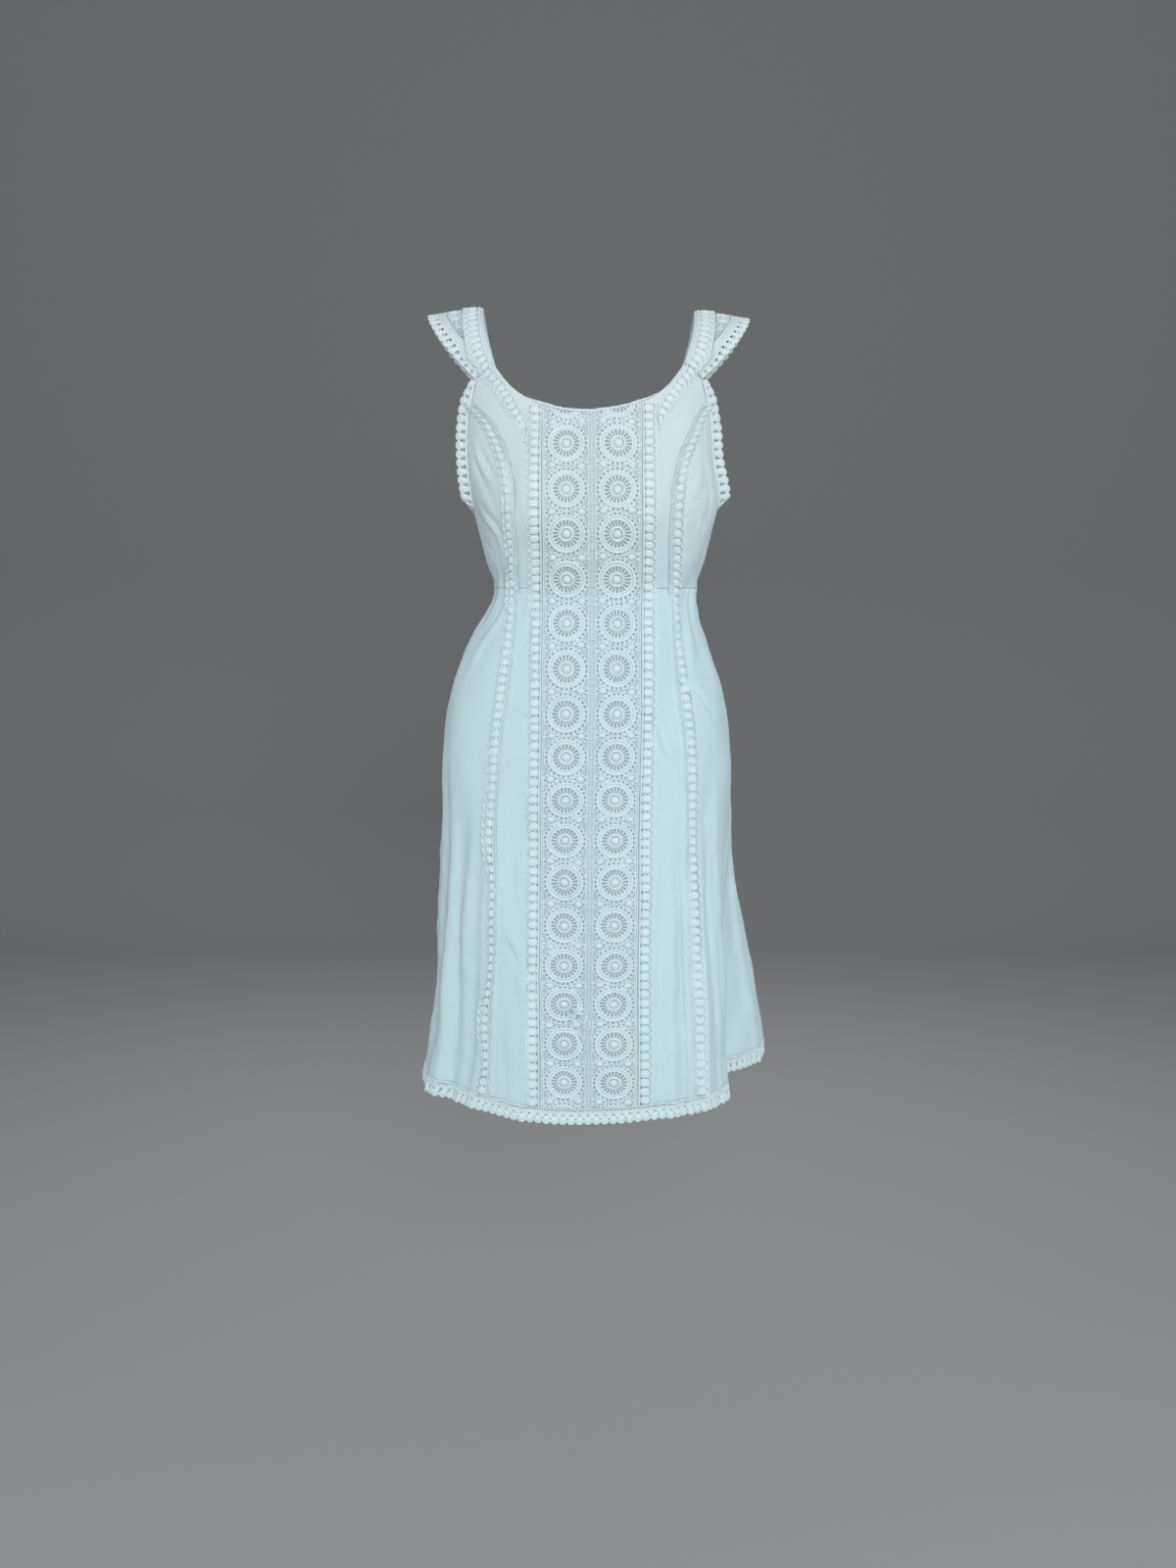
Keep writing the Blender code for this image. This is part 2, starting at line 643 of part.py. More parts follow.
def straps(side, name):
    """The strap band, and the lace cap and its scalloped edging that spread over the shoulder."""
    first, last = STRAP[0]["step"], STRAP[-1]["step"]
    margin = SEAM_GAP / STRAP_STEP_LENGTH
    steps = [first + margin + (last - first - 2 * margin) * k for k in spread(STRAP_ROWS)]

    def band_end(step):
        return min(NECK_TRIM_WIDTH, strap_reach(step) * BAND_SHARE)

    def edging_start(step):
        return max(band_end(step) + SEAM_GAP, strap_reach(step) - CAP_EDGING_WIDTH)

    band = strap_rows(side, steps, lambda s: 0.0, band_end, 2)
    wall(f"strap_{name}", band, 0.0, CLOTH, "cotton")
    rows = strap_rows(side, steps, edging_start, strap_reach, 3)
    wall(f"cap_edging_{name}", rows, 0.0, TRIM, "trim")
    wide = [s for s in steps if edging_start(s) > band_end(s) + 0.0015]
    rows = strap_rows(
        side,
        wide,
        lambda s: band_end(s) + SEAM_GAP,
        lambda s: edging_start(s) - SEAM_GAP,
        2,
    )
    wall(f"cap_lace_{name}", rows, 0.0, LACE, "lace")
    return band


def neck_strip(side, behind, first_x):
    """Points and normals of the neck trim on the bodice, from the given x to the strap seam."""
    neck = NECK_BACK if behind else NECK_FRONT
    seam = Vector((STRAP_OUTER[0] - STRAP_INNER[0], STRAP_OUTER[1] - STRAP_INNER[1]))
    grid = []
    for share in spread(7)[:-1]:
        x = first_x + (STRAP_INNER[0] - first_x) * share
        edge = Vector((x, lookup(neck, "x", x, "z")))
        if behind:
            rise = lookup(neck, "x", x + 0.001, "z") - lookup(neck, "x", x - 0.001, "z")
            away = Vector((rise, -0.002)).normalized()
            lower = edge + away.lerp(seam.normalized(), share**3) * NECK_TRIM_WIDTH
        else:
            lower = Vector([lookup(NECK_TRIM_EDGE, "share", share, c) for c in ("x", "z")])
            lower.x = max(lower.x, first_x + SEAM_GAP)
        line = []
        for down in spread(2):
            at_x, at_z = edge.lerp(lower, down)
            line.append(skin(angle_at(side * at_x + NECK_SHIFT, at_z, behind), at_z))
        grid.append(line)
    return grid


def neck_trims(side, name, band):
    """Crochet trim along the neck edge: up the bodice, over the strap and down to centre back."""
    start = LACE_HALF + LACE_TRIM_WIDTH + 2 * SEAM_GAP + side * (0.001 - NECK_SHIFT)
    front = neck_strip(side, False, start)
    back = neck_strip(side, True, 0.006)
    grid = front + band + back[::-1]
    wall(f"neck_trim_{name}", grid, CLOTH + NECK_TRIM_LIFT, TRIM, "trim")


def armhole_trims(side, name, front, front_outer, back_outer, back):
    """Scalloped trim that stands out from the armhole edge, from the strap down under the arm
    and up to the strap at the back. Its points are the armhole points of the four panels."""
    above = len(SHOULDER_ROWS)
    spots = [row[-1] for row in front[: above + 1]] + front_outer[0][1:]
    spots += back_outer[0][-2::-1] + [row[-1] for row in back[above::-1]]
    points = [skin(*spot) for spot in spots]
    # each end starts a little way in from the strap seam
    for end, inner in ((0, 1), (-1, -2)):
        point, normal = points[end]
        points[end] = (point.lerp(points[inner][0], 0.2), normal)
    grid = []
    for i, (edge, normal) in enumerate(points):
        before, after = points[max(i - 1, 0)][0], points[min(i + 1, len(points) - 1)][0]
        along = (after - before).normalized()
        opening = normal.cross(along).normalized() * side
        stand = {c: lookup(ARMHOLE_STAND, "z", edge.z, c) for c in ("out", "back", "up")}
        back_way = stand["back"] if i < len(points) / 2 else -stand["back"]
        outwards = side * stand["out"] * ARMHOLE_STAND_SHARE[side]
        away = Vector((outwards, back_way, stand["up"])).normalized()
        from_end = min(i, len(points) - 1 - i)
        away *= ARMHOLE_TRIM_WIDTH * min(0.45 + 0.3 * from_end, 1.0)
        start = edge + opening * (TRIM / 2 + 3 * SEAM_GAP)
        face = along.cross(away).normalized() * side
        grid.append([(start + away * share, face) for share in spread(2)])
    wall(f"armhole_trim_{name}", grid, -TRIM / 2, TRIM, "trim")


def ring_body(name, outer, inner, low, high, point, colour):
    """A flat piece with one hole. The outline and the hole have as many corners as each other,
    and point places (first, second, level) for the levels low and high."""
    mesh = bpy.data.meshes.new(name)
    bm = bmesh.new()
    loops = {}
    for level in (low, high):
        for key, corners in (("outer", outer), ("inner", inner)):
            loops[key, level] = [bm.verts.new(point(*corner, level)) for corner in corners]
    for i in range(len(outer)):
        k = (i + 1) % len(outer)
        for a, b in (
            (("outer", low), ("inner", low)),
            (("outer", high), ("inner", high)),
            (("outer", low), ("outer", high)),
            (("inner", low), ("inner", high)),
        ):
            bm.faces.new((loops[a][i], loops[a][k], loops[b][k], loops[b][i]))
    bmesh.ops.recalc_face_normals(bm, faces=bm.faces)
    bm.to_mesh(mesh)
    bm.free()
    make_object(name, mesh, colour)


def zip_parts(left, right):
    """The tape behind the slot at centre back, the slider at its top and the slider's pull. left
    and right are the back panels' rows, and the tape is made from their points by the slot."""
    spots = [[b[1], b[0], a[0], a[1]] for a, b in zip(left, right) if a[0][1] > ZIP_TAPE_END_Z]
    wall("zip_tape", on_skin(spots), -SEAM_GAP - ZIP_TAPE, ZIP_TAPE, "zip_tape")

    base, out = skin(180.0, SLIDER_Z)
    base += out * (CLOTH + SEAM_GAP)
    across, up = Vector((1, 0, 0)), Vector((0, -out.z, out.y)).normalized()

    def slider_point(along, away, side):
        return base + up * along + out * away + across * side

    def pull_point(side, along, away):
        return base + up * along + out * away + across * side

    ring_body(
        "zip_slider", SLIDER, SLIDER_HOLE, -SLIDER_HALF, SLIDER_HALF, slider_point, "zip_metal"
    )
    ring_body("zip_pull", PULL, PULL_HOLE, PULL_BACK, PULL_FRONT, pull_point, "zip_metal")


def clear_scene():
    for obj in list(bpy.data.objects):
        bpy.data.objects.remove(obj)


def main():
    clear_scene()
    lines, necks = front_centre()
    fronts, backs = [], []
    for side, name in ((1, "left"), (-1, "right")):
        front = front_side(side, name)
        fronts.append(front)
        front_outer = side_panels(side, name, False)
        back_outer = side_panels(side, name, True)
        back, back_skirt = back_centre(side, name)
        backs.append(back[:-1] + back_skirt)
        band = straps(side, name)
        neck_trims(side, name, band)
        armhole_trims(side, name, front, front_outer, back_outer, back)
    neck_binding(lines, necks, fronts)
    hem_trims()
    zip_parts(*backs)


main()
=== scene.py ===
"""Looks of a knee-length sleeveless dress: cotton panels, a wheel-lace front and crochet trims.

Metres, in the frame of the CAD part. The cloth is one garment surface, sampled over an angle round
the body (0 is centre front, 90 the wearer's left, 180 centre back) and a height. Creases are part
of that surface, so that panels, lace and trims all follow them. Lace and trims are modelled flat,
in millimetres along, across and up, and then laid on the garment.
"""

import math

import bmesh
import bpy
import numpy as np
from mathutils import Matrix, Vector


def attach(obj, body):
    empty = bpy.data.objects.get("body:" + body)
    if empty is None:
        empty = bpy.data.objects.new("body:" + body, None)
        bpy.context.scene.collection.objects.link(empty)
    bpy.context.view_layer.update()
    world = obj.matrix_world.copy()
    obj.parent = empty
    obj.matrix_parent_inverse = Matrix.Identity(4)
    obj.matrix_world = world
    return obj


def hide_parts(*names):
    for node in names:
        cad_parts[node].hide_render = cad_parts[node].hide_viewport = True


CLOTH = 0.0015  # thickness of the cotton
SEAM_GAP = 0.0003
TRIM_BASE = 0.0002  # how far off the cloth the trims' threads start
NECK_TRIM_BASE = 0.0003
TRIM = 0.0022  # thickness of the crochet that stands free round the armholes
WAIST_Z = -0.318
NEAR_HEM_Z = -0.890  # where lines down the skirt are read to find their place at the hem
HEM_TRIM_DEPTH = 0.019
FOLD_END_Z = -0.910
UNDERARM_Z = -0.236
SEAM_TOP_Z = -0.112
SEAM_EASE = 0.028  # the height over which the princess seams turn in to the armholes
BODICE_MEASURE_Z = -0.25  # where the panels' widths are measured
SKIRT_MEASURE_Z = -0.62
ZIP_END_Z = -0.425
ZIP_TAPE_END_Z = -0.440
SIDE_SEAM_DEG = 88.0
ZIP_SIDE_DEG = 179.0  # where lengths across the cloth are turned into degrees beside the zip
SMALLEST_RADIUS = 0.075  # of the body round its axis, for the reach of a crease in degrees
LACE_HALF = 0.054
LACE_TRIM_WIDTH = 0.017
PRINCESS_TRIM_WIDTH = 0.0165
HIP_TRIM_GROWTH = 0.004  # how much wider that trim lies from the hips down
NECK_TRIM_WIDTH = 0.024
ARMHOLE_TRIM_WIDTH = 0.0165
CAP_EDGING_WIDTH = 0.022
CAP_LACE_WIDTH = 0.017
TRIM_OVERHANG = 0.001  # how far the crescents reach past the trim's width
NECK_BAND = 0.018  # width of the crochet within the neck trim
STRAP_BAND = 0.0215  # and over the straps and behind
STRAP_TOP_STEP = 5.0
STRAP_BAND_SHARE = 0.74  # the most of a strap's width that its neck trim takes up
ZIP_SLOT_HALF = 0.0009
ZIP_TAPE_HALF = 0.012
ZIP_TAPE = 0.0011
NECK_SHIFT = -0.0025
LACE_SHIFT = 0.001  # of the lace's middle at the neck
STRAP_DROP = {1: 0.0070, -1: 0.0035}
STRAP_INNER = (0.106, -0.0710)
STRAP_OUTER = (0.125, -0.0885)
ARMHOLE_STAND_SHARE = {1: 0.78, -1: 1.0}
ARMHOLE_TURN = 1.75
PANEL_STEP = 0.0036  # spacing of a panel's points
EDGE_ROUNDING = 0.0018  # how far in from a cloth edge its outer face is rounded down
EDGE_SHARE = 0.35  # of the cloth's thickness that is left at the edge
CREASE_FADE = 0.42  # the share of a crease's length over which an end fades
FLAT_ABOVE_Z = -0.100  # no creases from here up
SIDES = ((1, "left"), (-1, "right"))
ACROSS = (0.0, 0.5, 1.0)  # a strip's inner edge, middle and outer edge
RNG = np.random.default_rng(7)

CAMERA_SPOT = (-0.0034, -2.0, -0.318)
CAMERA_TILT_DEG = -6.5
FRAME_HEIGHT = 36.0  # of the camera's film, in mm
FOCAL_SHARE = 1754 / 1600  # focal length as a share of the frame's height
AIM = (0.0, 0.0, -0.45)
FLOOR_Z = -1.45
FLOOR_HALF_WIDTH = 7.0
FLOOR_START_Y = -6.0
BEND_Y = 3.3  # where the floor starts to curve up
BEND_RADIUS = 1.2
BACKDROP_TOP_Z = 5.0
FLOOR = (0.335, 0.335, 0.335)
WORLD = (0.90, 0.95, 1.0)
WORLD_STRENGTH = 0.36
LIGHTS = (  # name, place, size, power
    ("key", (0.30, -3.0, 0.25), 0.9, 45.0),
    ("left", (-2.4, -1.5, 0.1), 1.3, 16.0),
    ("right", (2.6, -1.1, 0.1), 1.3, 17.0),
    ("back", (0.0, 2.3, 1.3), 1.6, 32.0),
)

COTTON_COLOURS = {  # dark and light
    "cotton": ((0.575, 0.770, 0.812), (0.616, 0.815, 0.853)),
    # painted shade: the cotton under the lace is coloured darker, standing for the lace's shade on
    # it
    "painted_shade_behind_lace": ((0.50, 0.62, 0.65), (0.56, 0.69, 0.72)),
}
THREAD_COLOURS = {
    "lace": ((0.61, 0.75, 0.785), (0.745, 0.885, 0.925)),
    "trim": ((0.63, 0.77, 0.80), (0.765, 0.905, 0.935)),
    # painted shade: this colour and the three after it are dark colours for the shade that shows
    # through the openings and notches of the thread-work, deepest where it stands free round the
    # shoulders
    "gap": ((0.20, 0.25, 0.27), (0.28, 0.34, 0.36)),
    "lace_painted_shade": ((0.30, 0.37, 0.40), (0.38, 0.46, 0.49)),
    "soft_painted_shade": ((0.40, 0.50, 0.53), (0.48, 0.59, 0.62)),
    "deep_painted_shade": ((0.07, 0.085, 0.09), (0.11, 0.13, 0.14)),
    "zip_tape": ((0.62, 0.77, 0.82), (0.70, 0.86, 0.90)),
}
ENAMEL_COLOURS = ((0.62, 0.74, 0.77), (0.70, 0.82, 0.85))
# painted light: cloth and threads are coloured warmer on the upper part of the dress, for the
# warmer light that falls there
PAINTED_LIGHT_HEIGHTS = (-0.38, -0.14)  # the cloth is a little warmer above these
CLOTH_PAINTED_LIGHT = ((1.0, 1.0, 1.0), (1.12, 0.99, 0.985))
THREAD_PAINTED_LIGHT = ((1.0, 1.0, 1.0), (1.05, 0.99, 0.98))


def table(columns, *rows):
    """Columns by name, with the rows in the order of the first column."""
    rows = sorted(rows)
    return {name: np.array([row[i] for row in rows]) for i, name in enumerate(columns.split())}


SECTIONS = table(  # half-widths and half-depths of the level sections, and how square they are
    "z left right front back square",
    (-0.055, 0.165, 0.165, 0.070, 0.080, 2.20),
    (-0.090, 0.152, 0.152, 0.086, 0.091, 2.25),
    (-0.125, 0.148, 0.148, 0.098, 0.097, 2.30),
    (-0.165, 0.144, 0.143, 0.111, 0.099, 2.35),
    (-0.215, 0.145, 0.136, 0.122, 0.096, 2.40),
    (-0.245, 0.139, 0.128, 0.123, 0.091, 2.40),
    (-0.285, 0.128, 0.119, 0.111, 0.082, 2.35),
    (-0.318, 0.117, 0.109, 0.100, 0.078, 2.30),
    (-0.345, 0.120, 0.117, 0.102, 0.083, 2.30),
    (-0.390, 0.137, 0.145, 0.111, 0.098, 2.30),
    (-0.440, 0.151, 0.162, 0.118, 0.111, 2.30),
    (-0.500, 0.159, 0.169, 0.124, 0.119, 2.30),
    (-0.590, 0.165, 0.170, 0.130, 0.124, 2.30),
    (-0.690, 0.175, 0.176, 0.137, 0.131, 2.30),
    (-0.790, 0.187, 0.180, 0.144, 0.139, 2.30),
    (-0.870, 0.196, 0.190, 0.149, 0.147, 2.30),
    (-0.925, 0.201, 0.204, 0.152, 0.152, 2.30),
)
FOLDS = (  # the skirt's: angle, spread, top, and how far they stand out or in at the hem
    (83.0, 19.0, -0.510, -0.064),
    (121.0, 21.0, -0.430, 0.041),
    (58.0, 10.0, -0.560, -0.006),
    (-52.0, 7.0, -0.560, -0.007),
    (-68.0, 9.0, -0.440, 0.006),
    (27.0, 6.0, -0.600, 0.004),
    (-24.0, 6.0, -0.560, 0.004),
    (-112.0, 13.0, -0.460, 0.012),
    (-138.0, 10.0, -0.500, -0.012),
    (-162.0, 12.0, -0.520, 0.009),
    (158.0, 12.0, -0.500, -0.010),
)
# Fullness at the bust: its place, its spread and how far it stands out.
BUST = {"x": 0.078, "z": -0.232, "across": 0.045, "down": 0.050, "reach": 0.008}
PRINCESS = table(  # x of the front princess seams, with the shift of their and the lace's middle
    "z x middle lace",
    (-0.112, 0.1230, 0.0000, 0.0000),
    (-0.130, 0.1120, 0.0020, 0.0010),
    (-0.150, 0.1030, 0.0030, 0.0010),
    (-0.176, 0.0925, 0.0030, 0.0010),
    (-0.2075, 0.0860, 0.0030, 0.0010),
    (-0.265, 0.0825, 0.0030, 0.0010),
    (-0.318, 0.0815, 0.0030, 0.0010),
    (-0.362, 0.0840, 0.0028, 0.0007),
    (-0.424, 0.0905, 0.0025, 0.0005),
    (-0.487, 0.0970, 0.0015, 0.0000),
    (-0.552, 0.1003, 0.0008, -0.0010),
    (-0.640, 0.1025, 0.0000, -0.0018),
    (-0.790, 0.1080, 0.0000, -0.0025),
    (-0.925, 0.1130, 0.0000, -0.0028),
)
NECK_FRONT = table(
    "x z",
    (0.000, -0.1290),
    (0.030, -0.1257),
    (0.054, -0.1180),
    (0.074, -0.1070),
    (0.089, -0.0940),
    (0.098, -0.0820),
    (0.106, -0.0710),
)
NECK_BACK = table(
    "x z",
    (0.000, -0.1050),
    (0.030, -0.1035),
    (0.054, -0.0995),
    (0.074, -0.0930),
    (0.089, -0.0860),
    (0.098, -0.0790),
    (0.106, -0.0710),
)
NECK_TRIM_EDGE = table(  # the outer edge of the neck trim in front
    "share x z",
    (0.00, 0.0715, -0.1610),
    (0.33, 0.0886, -0.1375),
    (0.66, 0.1066, -0.1075),
    (1.00, 0.1225, -0.0890),
)
ARMHOLE = table(  # the armhole's edge, in degrees from centre front and from centre back
    "z front back",
    (-0.0885, 53.1, 52.6),
    (-0.1000, 56.0, 56.5),
    (-0.1120, 59.2, 60.2),
    (-0.1250, 62.5, 64.2),
    (-0.1450, 66.5, 69.5),
    (-0.1700, 70.5, 75.0),
    (-0.1950, 73.8, 78.8),
    (-0.2180, 77.6, 83.0),
    (-0.2300, 81.4, 86.6),
    (-0.2360, SIDE_SEAM_DEG, 180.0 - SIDE_SEAM_DEG),
)
STRAP = table(
    "step inner y z outer lean fall",
    (0.0, 0.1060, -0.0612, -0.0710, 0.1250, 0.0070, 0.0175),
    (1.0, 0.1110, -0.0540, -0.0520, 0.1440, 0.0040, 0.0170),
    (2.0, 0.1155, -0.0420, -0.0330, 0.1640, 0.0010, 0.0130),
    (3.0, 0.1180, -0.0280, -0.0160, 0.1765, 0.0000, 0.0100),
    (4.0, 0.1190, -0.0140, -0.0045, 0.1820, 0.0000, 0.0090),
    (5.0, 0.1195, 0.0000, 0.0000, 0.1828, 0.0000, 0.0090),
    (6.0, 0.1190, 0.0150, -0.0045, 0.1820, 0.0000, 0.0090),
    (7.0, 0.1180, 0.0320, -0.0160, 0.1765, 0.0000, 0.0100),
    (8.0, 0.1155, 0.0470, -0.0330, 0.1640, -0.0010, 0.0130),
    (9.0, 0.1110, 0.0600, -0.0520, 0.1440, -0.0050, 0.0170),
    (10.0, 0.1060, 0.0674, -0.0710, 0.1250, -0.0099, 0.0175),
)
ARMHOLE_STAND = table(  # which way the trim stands out from the armhole
    "z out back up",
    (-0.0885, 0.60, 0.45, 0.10),
    (-0.1000, 0.66, 0.50, 0.30),
    (-0.1250, 0.74, 0.50, 0.18),
    (-0.1450, 0.86, 0.40, 0.05),
    (-0.1700, 0.88, 0.36, 0.02),
    (-0.1950, 0.90, 0.28, 0.06),
    (-0.2180, 0.93, 0.20, 0.15),
    (-0.2360, 0.55, 0.15, 0.75),
)
HEM = table(
    "angle z",
    (-180.0, -0.9040),
    (-130.0, -0.9000),
    (-90.0, -0.8925),
    (-60.0, -0.8980),
    (-30.0, -0.9020),
    (-8.0, -0.9095),
    (25.0, -0.9035),
    (55.0, -0.9000),
    (70.0, -0.8975),
    (84.0, -0.8985),
    (105.0, -0.8960),
    (125.0, -0.8890),
    (180.0, -0.9040),
)
# Heights of the middles of the lace's rows of wheels.
LACE_ROWS = (-0.1155, -0.1626, -0.2120, -0.2598, -0.3082, -0.3574, -0.4064, -0.4555, -0.5025)
LACE_ROWS += (-0.5498, -0.5939, -0.6403, -0.6878, -0.7322, -0.7745, -0.8191, -0.8617, -0.9045)
LACE_PITCH = 48.0  # spacing of the rows in the flat lace pattern, in mm
LACE_EDGE = 53.8  # how far from its middle the lace reaches, in mm
WHEEL_COLUMNS = (-27.6, 27.6)
CORNER_COLUMNS = (-43.2, -11.8, 11.8, 43.2)
SUNKEN_PUFFS = 0.10  # the share of the trims' puffs that are pressed flat

